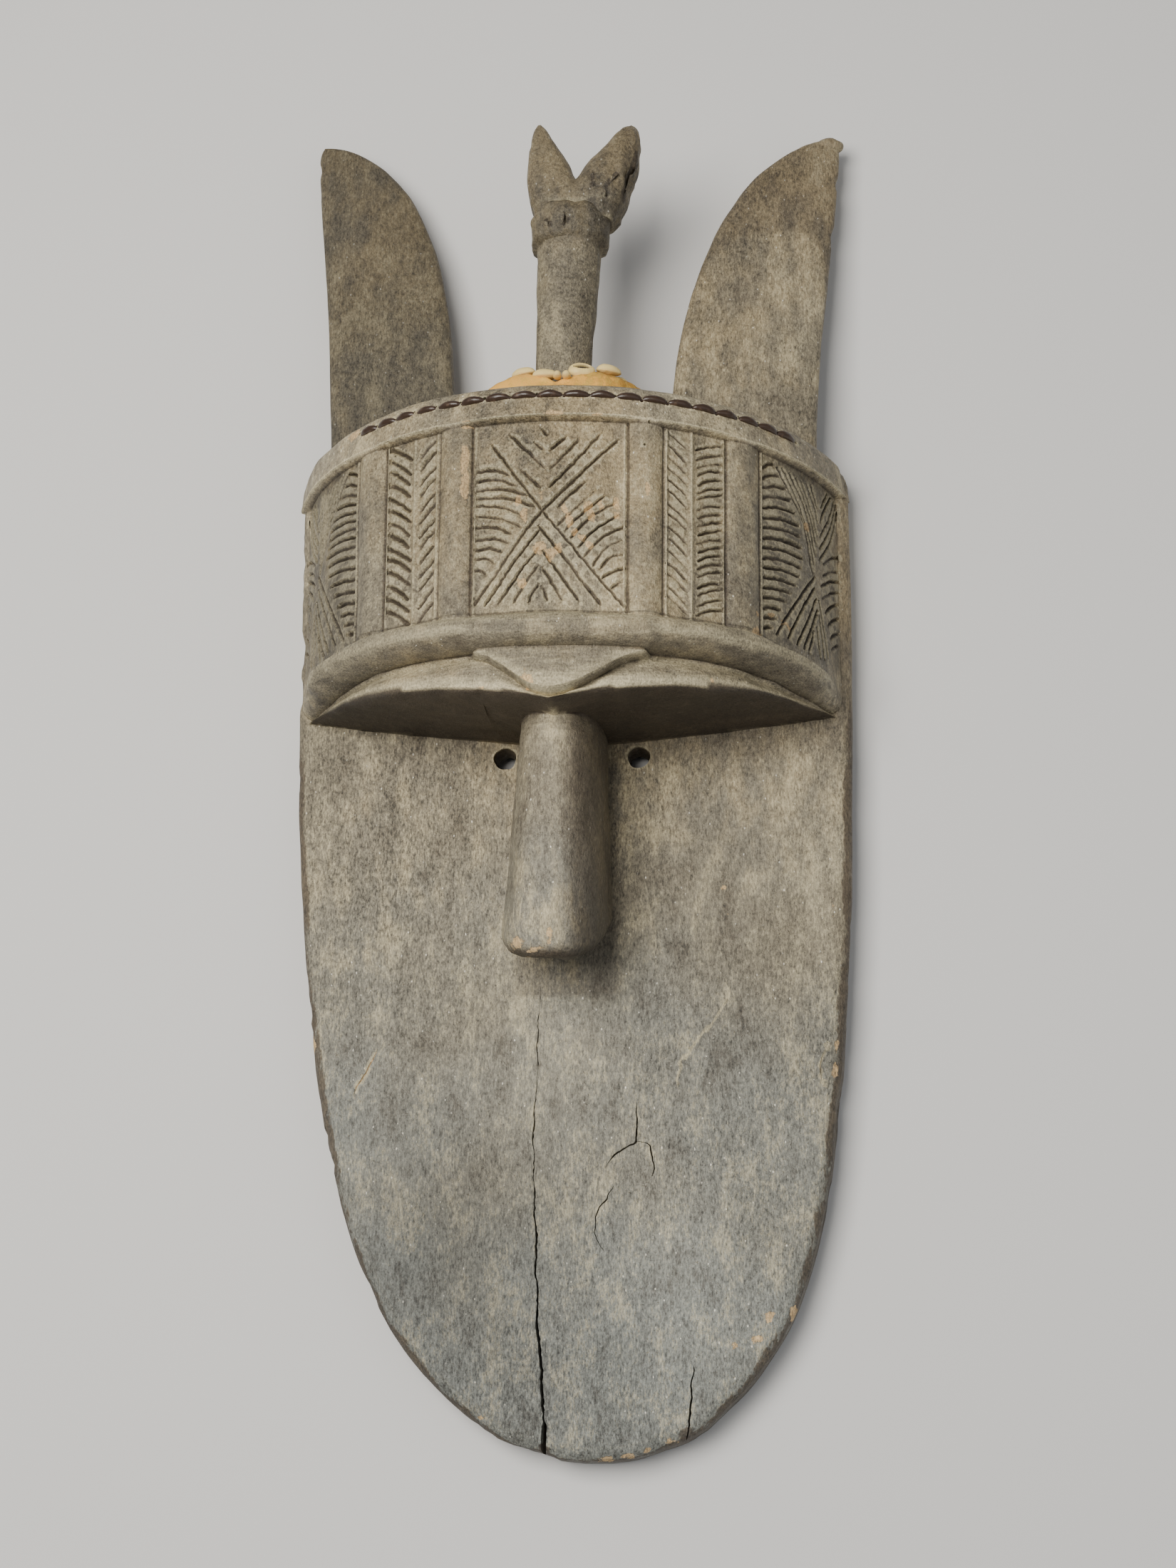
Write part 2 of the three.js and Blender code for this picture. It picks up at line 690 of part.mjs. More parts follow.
// A shell: egg-shaped, flat where it sits. Its length lies along the ring, or outwards.
function cowrie(name, turn, ring, size, lift, facing, tilt) {
  const stations = [[-0.5, 0.35], [-0.36, 0.8], [0, 1], [0.34, 0.8], [0.5, 0.3]];
  const sides = 6;
  const flat = -0.5;
  const rings = stations.map(([along, scale]) => Array.from({ length: sides }, (_, i) => {
    const angle = (i / sides) * 2 * Math.PI + Math.PI / sides;
    const up = (Math.max(Math.sin(angle), flat) - flat) / (1 - flat);
    const across = Math.cos(angle) * size.width / 2 * scale;
    return new THREE.Vector3(along * size.length, up * size.height * lerp(0.5, 1, scale), across);
  }));
  const mesh = meshOf(solid(loft(rings)), name, shell);
  mesh.position.copy(onPad(turn, ring, lift + touchGap));
  mesh.position.x += shellShiftRight;
  mesh.rotation.set(0, facing, tilt, "YXZ");
  return mesh;
}

const body = wasm.Manifold.union([
  faceBoard(), drum(), nose(), horn(leftHorn), horn(rightHorn), hornKnob(), post(),
  prong(leftProng), prong(rightProng),
]);
const channel = solid(loft(lacingRings(channelSteps, () => channelRadius)));
const cuts = wasm.Manifold.union([
  faceHollow(), foreheadPocket(), eyeHole(-1), eyeHole(1), channel, ...friezeGrooves(),
]);

const mask = new THREE.Group();
mask.add(meshOf(body.subtract(cuts), "mask_body", wood));
mask.add(meshOf(lacing(), "rim_lacing", thong));
mask.add(meshOf(pad(), "leather_pad", leather));
const shellSize = { length: shellLength, width: shellWidth, height: shellHeight };
const smallShellSize = { length: smallShellLength, width: smallShellWidth, height: smallShellWidth };
for (let i = 0; i < shellCount; i += 1) {
  const side = i % 2 ? 1 : -1;
  const turn = side * radians(shellFirstTurn + Math.floor(i / 2) * shellSpacing);
  const reach = shellLength / 2 / shellRing;
  const [before, middle, after] = [turn - reach, turn, turn + reach].map(padUnderShell);
  const tilt = Math.atan((after - before) / shellLength);
  const lift = Math.max((before + after) / 2, middle) + shellSeat;
  mask.add(cowrie(`cowrie_${String(i + 1).padStart(2, "0")}`, turn, shellRing, shellSize, lift, turn, tilt));
}
for (const [index, side] of [-1, 1].entries()) {
  const turn = side * radians(4.4);
  const lift = padTopAt(0) + smallShellSeat;
  const facing = Math.PI / 2 + turn;
  mask.add(cowrie(`cowrie_small_${index + 1}`, turn, smallShellRing, smallShellSize, lift, facing, 0));
}

// The origin is the middle of the underside of the bounding box.
const box = new THREE.Box3().setFromObject(mask);
const centre = box.getCenter(new THREE.Vector3());
mask.position.set(-centre.x, -centre.y, -box.min.z);
mask.updateMatrixWorld(true);

export default mask;
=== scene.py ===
"""Carved wooden mask lying on its back: a half-round forehead with a carved frieze, two flat
horns, a forked crest post, a long face board, a leather pad with cowrie shells and a thong
laced through the rim."""
import math

import bpy
import numpy as np
from mathutils import Matrix, Vector
from mathutils.geometry import delaunay_2d_cdt


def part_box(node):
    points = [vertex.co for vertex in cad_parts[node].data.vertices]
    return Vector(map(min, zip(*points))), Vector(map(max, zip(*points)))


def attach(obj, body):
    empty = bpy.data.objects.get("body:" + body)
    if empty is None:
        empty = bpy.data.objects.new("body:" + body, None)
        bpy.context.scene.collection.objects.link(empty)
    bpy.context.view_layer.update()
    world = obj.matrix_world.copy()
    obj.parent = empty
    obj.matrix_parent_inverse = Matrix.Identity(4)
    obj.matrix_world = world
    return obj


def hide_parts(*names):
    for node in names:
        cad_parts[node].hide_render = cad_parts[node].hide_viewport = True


bl_info = {
    "name": "Carved horned mask",
    "version": (1, 0, 0),
    "blender": (4, 5, 0),
    "location": "3D View > Sidebar > Mask",
    "description": "Builds a tall carved mask with its pad, shells and lacing",
    "category": "Object",
}

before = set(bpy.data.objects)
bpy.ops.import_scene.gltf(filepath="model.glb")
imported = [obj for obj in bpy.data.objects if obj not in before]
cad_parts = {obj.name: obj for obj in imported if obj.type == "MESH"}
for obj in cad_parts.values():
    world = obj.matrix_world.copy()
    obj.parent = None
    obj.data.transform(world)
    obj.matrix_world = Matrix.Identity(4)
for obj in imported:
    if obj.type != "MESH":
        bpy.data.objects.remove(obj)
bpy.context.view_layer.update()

# The modelling below is in millimetres: X from the face's middle line, Y from the chin tip,
# Z from the back of the board. These place it in the frame.
LEFT_EDGE = -195.214
OFFSET = np.array(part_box("mask_body")[0]) * 1000 - [LEFT_EDGE, 0, 0]

# Face board
BOARD_THICKNESS = 34.0
BOARD_TOP = 676.0
# Half width and height up the board's side, then depth and inset of its rounded edge
BOARD_SIDE = [
    (8, 1.6), (24, 3.4), (42, 8.6), (58.5, 14.6), (70, 21.6), (83, 32), (102, 50), (121.5, 75), (135.5, 100),
    (150.5, 140), (161, 180), (171.5, 240), (179, 300), (184, 360), (189, 450), (191.5, 560), (192.3, 655),
]
BOARD_EDGE = [(0, 2), (1.2, 0.6), (3, 0), (14, -0.2), (26, 0), (28.6, 0.6), (30.9, 2.2), (32.7, 4.6), (34, 8)]
BOARD_CORNER = 16.0
FRONT_SPACING = 4.2
BACK_SPACING = 9.0
CHIN_SHIFT = 16.0
CHIN_SHIFT_TOP = 450.0
LEVEL_SLOPE = -0.02
BACK_RIM = 27.0
HOLLOW_DEPTH = 14.0
HOLLOW_TOP = 640.0
POCKET = {"bottom": 512.0, "top": 635.0, "half_width": 132.0, "depth": 118.0}

# Forehead drum
DRUM_HALF_CHORD = 185.0
DRUM_LOW_HEIGHT = 505.0
DRUM_LOW_DEPTH = 138.0
DRUM_DEPTH_LOSS = 0.055
DRUM_MIDDLE = -1.5
DRUM_END = 74.0
DRUM_ROOT = 8.0
CENTRE_EDGE = 15.0
INNER_RIB_END = 21.8
HERRING_MIDDLE = 27.6
OUTER_RIB_START = 35.0
SIDE_START = 43.0
RIBS = ((CENTRE_EDGE, INNER_RIB_END), (OUTER_RIB_START, SIDE_START))
RIB_HEIGHT = 4.5
# Angle, half width in degrees and height of the thin lines beside the ribs
RAISED_LINES = [
    (CENTRE_EDGE - 0.7, 0.5, 1.2), (INNER_RIB_END + 0.7, 0.5, 1.2), (OUTER_RIB_START - 0.6, 0.5, 1.2),
    (SIDE_START + 0.6, 0.5, 1.2), (HERRING_MIDDLE, 0.6, 1.5),
]
MM_PER_DEGREE = 3.37
RIM_LOW = 489.0
RIM_HIGH = 510.0
RIM_PROUD = 8.0
PANEL_LOW = 513.0
PANEL_HIGH = 648.0
BAND_PROUD = 4.5
LACING_LEVEL = 665.0
LACING_SPAN = (-42.0, 52.0)
BEVEL = 6.0
LOBE_RECESS = 13.0
KEEL_TIP = 460.0
KEEL_HALF_ANGLES = (15.8, 20.4)
KEEL_PROUD = -3.0

# Nose, eyes, horns, post
# Where two numbers stand together, the first is for the top or root and the second for the tip
NOSE = {
    "top": 478.0, "bottom": 322.0, "middle": (-1.5, -7.2), "half": (26.5, 34.6), "depth": (95.0, 89.0),
    "cut": 23.0, "corner": 20.0,
}
EYE_SPACING = 91.0
EYE_HEIGHT = 460.0
HORNS = [
    {"side": -1, "length": 278, "outer": (171, 196), "inner": 84, "tip": 189, "curve": 2.7},
    {"side": 1, "length": 262, "outer": (172, 199), "inner": 70, "tip": 193, "curve": 2.1},
]
HORN_THICKNESS = (24.0, 13.0)
HORN_DEPTH = 40.0
HORN_LEAN = math.tan(math.radians(4))
POST_FOOT = (-3.2, 86.0)
POST_LEAN = (math.sin(math.radians(3.1)), math.sin(math.radians(4)))
# Reach up the post and its radius there
POST_RADII = [
    (-14, 17.5), (45, 17.5), (90, 20.2), (137, 22.6), (138.5, 26.2), (141, 28.2), (147, 28.6), (155, 27.9),
    (161, 25.8), (164.5, 23.5), (167, 16),
]
# Each prong: height, inner edge, outer edge and half thickness
FORK = [
    [(830, 24, -19, 18), (848, 22, -23.5, 19), (864, 9.9, -25.4, 17), (876, 4.5, -25.2, 14.5),
     (893, -5, -23.8, 10.5), (904.5, -11, -21.5, 7), (910, -15, -18.5, 3.5)],
    [(830, -4, 35, 18), (848, -2, 45, 20), (864, 9.9, 50.5, 19), (875, 17.5, 53.2, 16.5),
     (889, 29, 55.2, 13), (900, 38.5, 55, 9), (906.5, 46.5, 52, 4.5)],
]

# Thong, pad and shells
THONG_POINTS = 266
THONG_RISE = (-0.0022, 0.0002)
THONG_ARCH = (-0.0012, 0.0008)
PAD_SHIFT = 1.6
PAD_INNER = 20.0
PAD_OUTER = (60.0, 46.0)
PAD_HEIGHT = 33.0
PAD_DIP = 12.0
SHELL_RING = 35.0
SHELL_WIDTH = 12.0
SHELL_HEIGHT = 7.6
SMALL_SHELL = (9.5, 5.4, 5.4)


# Geometry in plain numbers


def smooth(t):
    """An S-shaped ramp from 0 to 1."""
    s = np.clip(t, 0, 1)
    return s * s * (3 - 2 * s)


def mix(a, b, t):
    """The value a share t of the way from a to b."""
    return a + (b - a) * t


def lattice_noise(points, size, seed, octaves=1):
    """Smooth noise from about -1 to 1 on a fixed lattice of the given size in millimetres."""
    table = np.random.default_rng(seed).uniform(-1, 1, (32, 32, 32))
    total = np.zeros(len(points))
    for octave in range(octaves):
        q = np.asarray(points) / size * 2 ** octave + 7.3 * octave
        base = np.floor(q).astype(int)
        t = smooth(q - base)
        value = 0
        for corner in range(8):
            step = np.array([corner & 1, corner >> 1 & 1, corner >> 2])
            weight = np.prod(np.where(step == 1, t, 1 - t), axis=1)
            i, j, k = ((base + step) % 32).T
            value = value + weight * table[i, j, k]
        total += value / 2 ** octave
    return total


def spline(rows, count):
    """Rows of control values, resampled to count rows by Catmull-Rom spans."""
    rows = np.asarray(rows, float)
    ends = np.vstack([2 * rows[0] - rows[1], rows, 2 * rows[-1] - rows[-2]])
    where = np.linspace(0, len(rows) - 1 - 1e-9, count)
    i = where.astype(int)
    t = (where - i)[:, None]
    a, b, c, d = ends[i], ends[i + 1], ends[i + 2], ends[i + 3]
    bend, twist = 2 * a - 5 * b + 4 * c - d, 3 * b - a - 3 * c + d
    return 0.5 * (2 * b + (c - a) * t + bend * t ** 2 + twist * t ** 3)


def evenly(rows, count):
    """A polyline as count points at even steps of its length."""
    length = np.concatenate([[0], np.cumsum(np.linalg.norm(np.diff(rows, axis=0), axis=1))])
    where = np.linspace(0, length[-1], count)
    return np.stack([np.interp(where, length, rows[:, k]) for k in range(rows.shape[1])], 1)


def along(rows, step):
    """Points of a polyline about a step apart."""
    rows = np.asarray(rows, float)
    total = np.cumsum(np.linalg.norm(np.diff(rows, axis=0), axis=1))[-1]
    return evenly(rows, max(2, int(round(total / step)) + 1))


def loft(rings, joined=False):
    """Points and faces of a closed form through rings of equal count."""
    rings = np.asarray(rings, float)
    count, sides = rings.shape[:2]
    spans = count if joined else count - 1
    a = np.arange(spans)[:, None] * sides + np.arange(sides)[None, :]
    b = np.arange(spans)[:, None] * sides + (np.arange(sides)[None, :] + 1) % sides
    faces = np.stack([a, b, (b + sides) % (count * sides), (a + sides) % (count * sides)], -1)
    faces = faces.reshape(-1, 4).tolist()
    if not joined:
        faces.append(list(range(sides))[::-1])
        faces.append([(count - 1) * sides + k for k in range(sides)])
    return rings.reshape(-1, 3), faces


def joined_forms(forms):
    """Several closed forms that don't touch, as one list of points and faces."""
    points, faces, start = [], [], 0
    for form_points, form_faces in forms:
        points.append(form_points)
        faces.extend([[i + start for i in face] for face in form_faces])
        start += len(form_points)
    return np.vstack(points), faces


def volume(points, faces):
    """Six times the volume inside the faces, below zero if they face inwards."""
    total = 0.0
    for face in faces:
        p = points[face]
        total += np.cross(p[1:-1] - p[0], p[2:] - p[0]).sum(0) @ p[0]
    return total


def form_object(name, form):
    """A closed form as an object, with its faces turned outwards."""
    points, faces = form
    if volume(points, faces) < 0:
        faces = [face[::-1] for face in faces]
    mesh = bpy.data.meshes.new(name)
    mesh.from_pydata(points.tolist(), [], faces)
    mesh.update()
    made = bpy.data.objects.new(name, mesh)
    bpy.context.scene.collection.objects.link(made)
    return made


def baked(made, name):
    """The object's modifiers worked into a plain mesh."""
    bpy.context.view_layer.update()
    graph = bpy.context.evaluated_depsgraph_get()
    mesh = bpy.data.meshes.new_from_object(made.evaluated_get(graph))
    made.modifiers.clear()
    made.data = mesh
    made.name = mesh.name = name
    return made


def combine(target, tools, operation):
    """Join the tools to the target or cut them from it."""
    for tool in tools:
        step = target.modifiers.new(operation, "BOOLEAN")
        step.operation = operation
        step.solver = "MANIFOLD"
        step.object = tool
    return target


def points_of(mesh):
    """The mesh's points as rows."""
    points = np.empty(len(mesh.vertices) * 3)
    mesh.vertices.foreach_get("co", points)
    return points.reshape(-1, 3)


def normals_of(mesh):
    """The direction that each point of the mesh faces."""
    normals = np.empty(len(mesh.vertices) * 3)
    mesh.vertex_normals.foreach_get("vector", normals)
    return normals.reshape(-1, 3)


def put_points(mesh, points):
    mesh.vertices.foreach_set("co", np.ascontiguousarray(points, float).ravel())
    mesh.update()


def attribute(mesh, name, values):
    layer = mesh.attributes.new(name, "FLOAT", "POINT")
    layer.data.foreach_set("value", np.asarray(values, np.float32))


def settle(made, sharp):
    """From millimetres about the mask to metres in the frame, smooth except at hard edges."""
    put_points(made.data, (points_of(made.data) + OFFSET) / 1000)
    made.data.polygons.foreach_set("use_smooth", [True] * len(made.data.polygons))
    made.data.set_sharp_from_angle(angle=math.radians(sharp))
    return made


# Face board


def board_side(inset, step=5.0):
    """The board's right side from chin to top, moved in by the inset, with a rounded corner."""
    side = spline(BOARD_SIDE, 400)
    turns = np.radians(np.linspace(15, 90, 6))
    corner = np.stack([side[-1, 0] - BOARD_CORNER * (1 - np.cos(turns)),
                       BOARD_TOP - BOARD_CORNER * (1 - np.sin(turns))], 1)
    side = along(np.vstack([side, corner, [2, BOARD_TOP]]), step)
    before = np.vstack([[-side[0, 0], side[0, 1]], side[:-1]])
    after = np.vstack([side[1:], [0, BOARD_TOP]])
    tangent = after - before
    tangent /= np.linalg.norm(tangent, axis=1)[:, None]
    return side + np.stack([-tangent[:, 1], tangent[:, 0]], 1) * inset


def chin_shift(y):
    """How far the board's middle line has moved to the right towards the chin."""
    return CHIN_SHIFT * np.maximum(0, 1 - y / CHIN_SHIFT_TOP) ** 2


def outline_ring(side, depth):
    """The board's outline from one side of it: the chin leans to the right and the levels slope a little."""
    x, y = np.vstack([side, side[::-1] * [-1, 1]]).T
    return np.stack([x + chin_shift(y), y + LEVEL_SLOPE * x * (y / BOARD_TOP), np.full(len(x), depth)], 1)


def inside(places, ring):
    """Which places lie inside a closed ring, by counting the edges to their right."""
    x, y = places[:, 0][:, None], places[:, 1][:, None]
    ax, ay = ring[:, 0], ring[:, 1]
    bx, by = np.roll(ax, -1), np.roll(ay, -1)
    crosses = (ay > y) != (by > y)
    at = ax + (y - ay) * (bx - ax) / np.where(by == ay, 1e-9, by - ay)
    return (crosses & (x < at)).sum(1) % 2 == 1


def filled_cap(ring, start, spacing):
    """Points inside a flat ring on a staggered grid, and the triangles that fill it."""
    low, high = ring[:, :2].min(0), ring[:, :2].max(0)
    rows = np.arange(low[1], high[1], spacing * 0.866)
    grid = np.array([(x + (spacing / 2 if r % 2 else 0), y)
                     for r, y in enumerate(rows) for x in np.arange(low[0], high[0], spacing)])
    nearest = np.min(np.linalg.norm(grid[:, None, :] - ring[None, :, :2], axis=2), axis=1)
    grid = grid[(nearest > spacing * 0.7) & inside(grid, ring)]
    cut = [Vector(p) for p in np.vstack([ring[:, :2], grid])]
    points, _, faces, sources, _, owners = delaunay_2d_cdt(cut, [], [list(range(len(ring)))], 1, 1e-6, True)
    faces = [face for face, owner in zip(faces, owners) if owner]
    number = {i: start + origin[0] for i, origin in enumerate(sources) if origin[0] < len(ring)}
    fresh = [i for i in range(len(points)) if i not in number]
    return [tuple(points[i]) for i in fresh], fresh, number, faces


def board_form():
    """The board, with its rounded edge and fine, even triangles on the front and back."""
    rings = [outline_ring(board_side(inset), depth) for depth, inset in BOARD_EDGE]
    points, faces = loft(rings)
    faces = faces[:-2]
    sides = len(rings[0])
    front = (len(rings) - 1) * sides
    for ring, start, spacing in ((rings[0], 0, BACK_SPACING), (rings[-1], front, FRONT_SPACING)):
        inner, fresh, number, triangles = filled_cap(ring, start, spacing)
        for k, i in enumerate(fresh):
            number[i] = len(points) + k
        points = np.vstack([points, np.array([(x, y, ring[0, 2]) for x, y in inner])])
        order = 1 if start else -1
        faces.extend([[number[i] for i in triangle][::order] for triangle in triangles])
    return points, faces


def hollow_form():
    """The shallow hollow cut into the back of the board."""
    rings = []
    for inset, depth in ((0, -1), (0, 0), (5, 8), (9, 12.5), (14, HOLLOW_DEPTH)):
        side, top = board_side(BACK_RIM + inset), HOLLOW_TOP - inset
        keep = side[(side[:, 1] < top - 3) & (side[:, 0] > 6)]
        rings.append(outline_ring(evenly(np.vstack([keep[1:], [keep[-1, 0], top]]), 110), depth))
    return loft(rings)


def pocket_form():
    """The half-round pocket cut into the back of the forehead."""
    middle = (POCKET["bottom"] + POCKET["top"]) / 2
    half = (POCKET["top"] - POCKET["bottom"]) / 2
    turns = np.linspace(0, math.pi, 48)
    rings = []
    for t in np.sin(np.linspace(-math.pi / 2, math.pi / 2, 17)):
        scale = 1 - 0.24 * abs(t) ** 6
        rings.append(np.stack([
            -np.cos(turns) * POCKET["half_width"] * scale,
            np.full(len(turns), middle + half * t),
            np.sin(turns) * POCKET["depth"] * scale + 2,
        ], 1))
    return loft(rings)


# Forehead drum


def drum_circle(height):
    """Radius and centre of the round forehead at a height."""
    depth = DRUM_LOW_DEPTH - (height - DRUM_LOW_HEIGHT) * DRUM_DEPTH_LOSS
    radius = (DRUM_HALF_CHORD ** 2 + depth ** 2) / (2 * depth)
    return radius, BOARD_THICKNESS + depth - radius


def on_drum(angle, height, proud):
    """A point on the forehead, so far proud of its plain round face."""
    angle, height, proud = np.broadcast_arrays(*(np.asarray(v, float) for v in (angle, height, proud)))
    radius, centre = drum_circle(height)
    turn = np.radians(angle)
    x = DRUM_MIDDLE + (radius + proud) * np.sin(turn)
    return np.stack([x, height + LEVEL_SLOPE * x, centre + (radius + proud) * np.cos(turn)], -1)


def drum_place(points):
    """Angle, height and how proud of the plain drum each point lies."""
    height = points[:, 1] - LEVEL_SLOPE * points[:, 0]
    radius, centre = drum_circle(height)
    across, forward = points[:, 0] - DRUM_MIDDLE, points[:, 2] - centre
    return np.degrees(np.arctan2(across, forward)), height, np.hypot(across, forward) - radius


def lip_level(angle):
    """Height of the forehead's lower lip."""
    place = np.abs(angle)
    return 455 + 22 * np.minimum(1, place / 43) ** 0.8 + np.maximum(0, place - 43) * 0.3


def rim_levels(angle):
    """Lower and upper edge of the rim under the frieze."""
    place = np.abs(angle)
    low = RIM_LOW + 3 * smooth(place / 40) - 4 * smooth((place - 46) / 28)
    high = RIM_HIGH + 2.5 * smooth(place / 40) - 17 * smooth((place - 40) / 30)
    return low, high


def rib_relief(angle):
    """Half-round ribs and the thin raised lines beside them and in the middle of the herringbone."""
    place = abs(angle)
    for start, end in RIBS:
        if start < place < end:
            return RIB_HEIGHT * math.sin(math.pi * (place - start) / (end - start)) ** 0.62
    for line, half, height in RAISED_LINES:
        if abs(place - line) < half:
            return height * (1 - (abs(place - line) / half) ** 2)
    return 0.0


def drum_angles():
    """Angles of the drum's profiles, closest where the frieze has ribs and raised lines."""
    marks = [0, *np.arange(1.5, CENTRE_EDGE - 1.6, 1.5), *np.arange(23.6, 27, 1.2)]
    marks += [*np.arange(28.9, 33.9, 1.2), *np.arange(45.4, DRUM_END - 0.5, 1.6), DRUM_END]
    for middle, steps in ((CENTRE_EDGE, (-1.2, -0.7, -0.1)), (INNER_RIB_END, (0.1, 0.7, 1.2)),
                          (HERRING_MIDDLE, (-0.6, 0, 0.6)), (OUTER_RIB_START, (-1.1, -0.6, -0.1)),
                          (SIDE_START, (0.1, 0.6, 1.1))):
        marks += [middle + step for step in steps]
    rounding = (0, 0.02, 0.06, 0.14, 0.26, 0.4, 0.5, 0.6, 0.74, 0.86, 0.94, 0.98, 1)
    marks += [mix(*rib, t) for rib in RIBS for t in rounding]
    half = sorted(set(round(m, 3) for m in marks))
    return [-m for m in half[:0:-1]] + half


def drum_profile(angle):
    """The section of the forehead at an angle: soffit, lobe or keel, rim, frieze, upper band and crown."""
    place = abs(angle)
    fade = 1 - smooth((place - 54) / 17)
    recess = LOBE_RECESS * mix(1, 0.55, smooth((place - 58) / 15))
    proud = RIM_PROUD * fade
    low, high = rim_levels(angle)
    lip = lip_level(angle)
    keel_half = KEEL_HALF_ANGLES[angle > 0]
    in_keel = place < keel_half
    keel = low - 3
    if in_keel:
        keel = mix(KEEL_TIP, low - 3, math.sin(place / keel_half * math.pi / 2) ** 2)
    keel_proud = mix(KEEL_PROUD, -recess - 1, smooth((place - keel_half + 2) / 3))
    lobe_top = max(keel - 1, lip + 1.6)
    tall = lobe_top - lip
    rib = rib_relief(angle)
    lobe = [
        (lip - 0.7, -recess - 5), (lip, -recess - 1.4), (lip + 0.1 * tall, -recess + 1.2),
        (lip + 0.3 * tall, -recess + 2.6), (lip + 0.65 * tall, -recess + 1.6), (lobe_top, -recess - 1.6),
        (keel, keel_proud - 1.8), (keel + 1.4, keel_proud), (mix(keel + 1.4, low, 0.6), keel_proud + 0.4),
    ]
    rim = [
        (low, keel_proud - 0.6), (low + 1.0, mix(keel_proud, proud, 0.3)),
        (low + 3.0, mix(keel_proud, proud, 0.62)), (low + 5.8, mix(keel_proud, proud, 0.85)),
        (low + 9.2, proud * 0.97), (low + 14.2, proud * 1.02), (high - 3.4, proud * 0.86),
        (high - 0.9, max(proud * 0.36, rib * 0.7)), (high, max(0.8 * fade, rib * 0.8)), (high + 1.3, rib),
    ]
    up_frieze = (0.014, *np.linspace(0, 1, 22)[1:-1], 0.986, 1)
    frieze = [(mix(high + 1.3, PANEL_HIGH - 0.8, t), rib) for t in up_frieze]
    band = [
        (PANEL_HIGH + 0.4, mix(rib, BAND_PROUD + 1.5, 0.6)), (PANEL_HIGH + 1.5, BAND_PROUD + 1.5),
        (PANEL_HIGH + 3.5, BAND_PROUD + 1.3), (PANEL_HIGH + 7, BAND_PROUD + 0.7),
        (LACING_LEVEL - 5, BAND_PROUD + 0.4), (LACING_LEVEL, BAND_PROUD),
        (LACING_LEVEL + 3.5, BAND_PROUD - 0.6), (LACING_LEVEL + 6, BAND_PROUD - 1.7),
        (BOARD_TOP - 2.6, 0.8), (BOARD_TOP - 0.7, -1.8), (BOARD_TOP, -BEVEL + 1),
    ]
    rows = lobe + rim + frieze + band
    rows = np.array(rows)
    for i in range(1, len(rows)):
        rows[i, 0] = max(rows[i, 0], rows[i - 1, 0] + 0.25)
    front = on_drum(angle, rows[:, 0], rows[:, 1])
    x = on_drum(angle, DRUM_LOW_HEIGHT, 0)[0]
    under = 469 + 18 * abs(x / 180) ** 1.3 + LEVEL_SLOPE * x
    root = np.array([x, under, DRUM_ROOT])
    top = np.array([x, BOARD_TOP + LEVEL_SLOPE * x, DRUM_ROOT])
    front[-1, 1] = top[1]
    soffit = np.array([mix(root, front[0], t) for t in np.linspace(0, 1, 14)[:-1]])
    crown = np.array([mix(front[-1], top, t) for t in np.linspace(0, 1, 9)[1:]])
    return np.vstack([soffit, front, crown])


def drum_form():
    """The forehead, through its sections from one end to the other."""
    return loft([drum_profile(angle) for angle in drum_angles()])


# Nose, horns, post and fork


def nose_form():
    """The nose: a half-round column with a slanting cut at its tip."""
    rings = []
    steps = np.linspace(0, math.pi, 44)
    swell = np.sin(steps) ** 0.56
    across = np.sign(np.cos(steps)) * np.abs(np.cos(steps)) ** 0.82
    levels = [(t, 1, 0) for t in np.linspace(0, 0.55, 14)]
    levels += [(t, 1.005, mix(0, 0.9, ((t - 0.55) / 0.4) ** 1.4)) for t in np.linspace(0.58, 0.95, 12)]
    levels += [(0.965, 0.995, 0.97), (0.98, 0.975, 1.0), (0.992, 0.945, 1.01), (1.0, 0.9, 1.0),
               (0.998, 0.8, 0.93)]
    for t, scale, drop in levels:
        height = mix(NOSE["top"], NOSE["bottom"], t)
        middle = mix(*NOSE["middle"], t)
        half = mix(*NOSE["half"], t) * scale
        depth = mix(*NOSE["depth"], t) * scale
        level = height - NOSE["cut"] * drop * swell + NOSE["corner"] * drop * (1 - swell)
        arc = np.stack([middle + half * across, level, BOARD_THICKNESS + depth * swell], 1)
        root = height + NOSE["corner"] * drop
        foot = np.array([[middle - half, root, 24.0], [middle + half, root, 24.0]])
        rings.append(np.vstack([arc, foot]))
    return loft(rings)


def blade(x, y, z, half, thick, power, sides=40):
    """A level ring between an oval and a box: the higher the power, the squarer."""
    turns = np.linspace(0, 2 * math.pi, sides, endpoint=False)
    c, s = np.cos(turns), np.sin(turns)
    u = np.sign(c) * np.abs(c) ** (2 / power)
    v = np.sign(s) * np.abs(s) ** (2 / power)
    return np.stack([x + u * half, np.full(sides, y), z + v * thick], 1)


def horn_form(form):
    """A flat horn that narrows to a blunt tip by its outer edge."""
    rings = []
    for step in np.linspace(0, 1, 64):
        t = math.sin(step * math.pi / 2 * 0.992)
        reach = mix(-16, form["length"], t)
        share = min(1, max(0, reach / form["length"]))
        outer = mix(*form["outer"], share ** 1.4)
        inner = mix(form["inner"], form["tip"], 1 - math.sqrt(max(0, 1 - share ** form["curve"])))
        rounding = math.sqrt(max(0, 1 - share ** 14))
        outer = mix(form["tip"], outer, rounding)
        half = max((outer - inner) / 2, 1.5)
        thick = mix(*HORN_THICKNESS, share) / 2 * mix(0.5, 1, rounding)
        centre = form["side"] * (outer + inner) / 2
        power = mix(4.6, 3.0, share)
        rings.append(blade(centre, BOARD_TOP + reach, HORN_DEPTH - HORN_LEAN * reach, half, thick, power))
    return loft(rings)


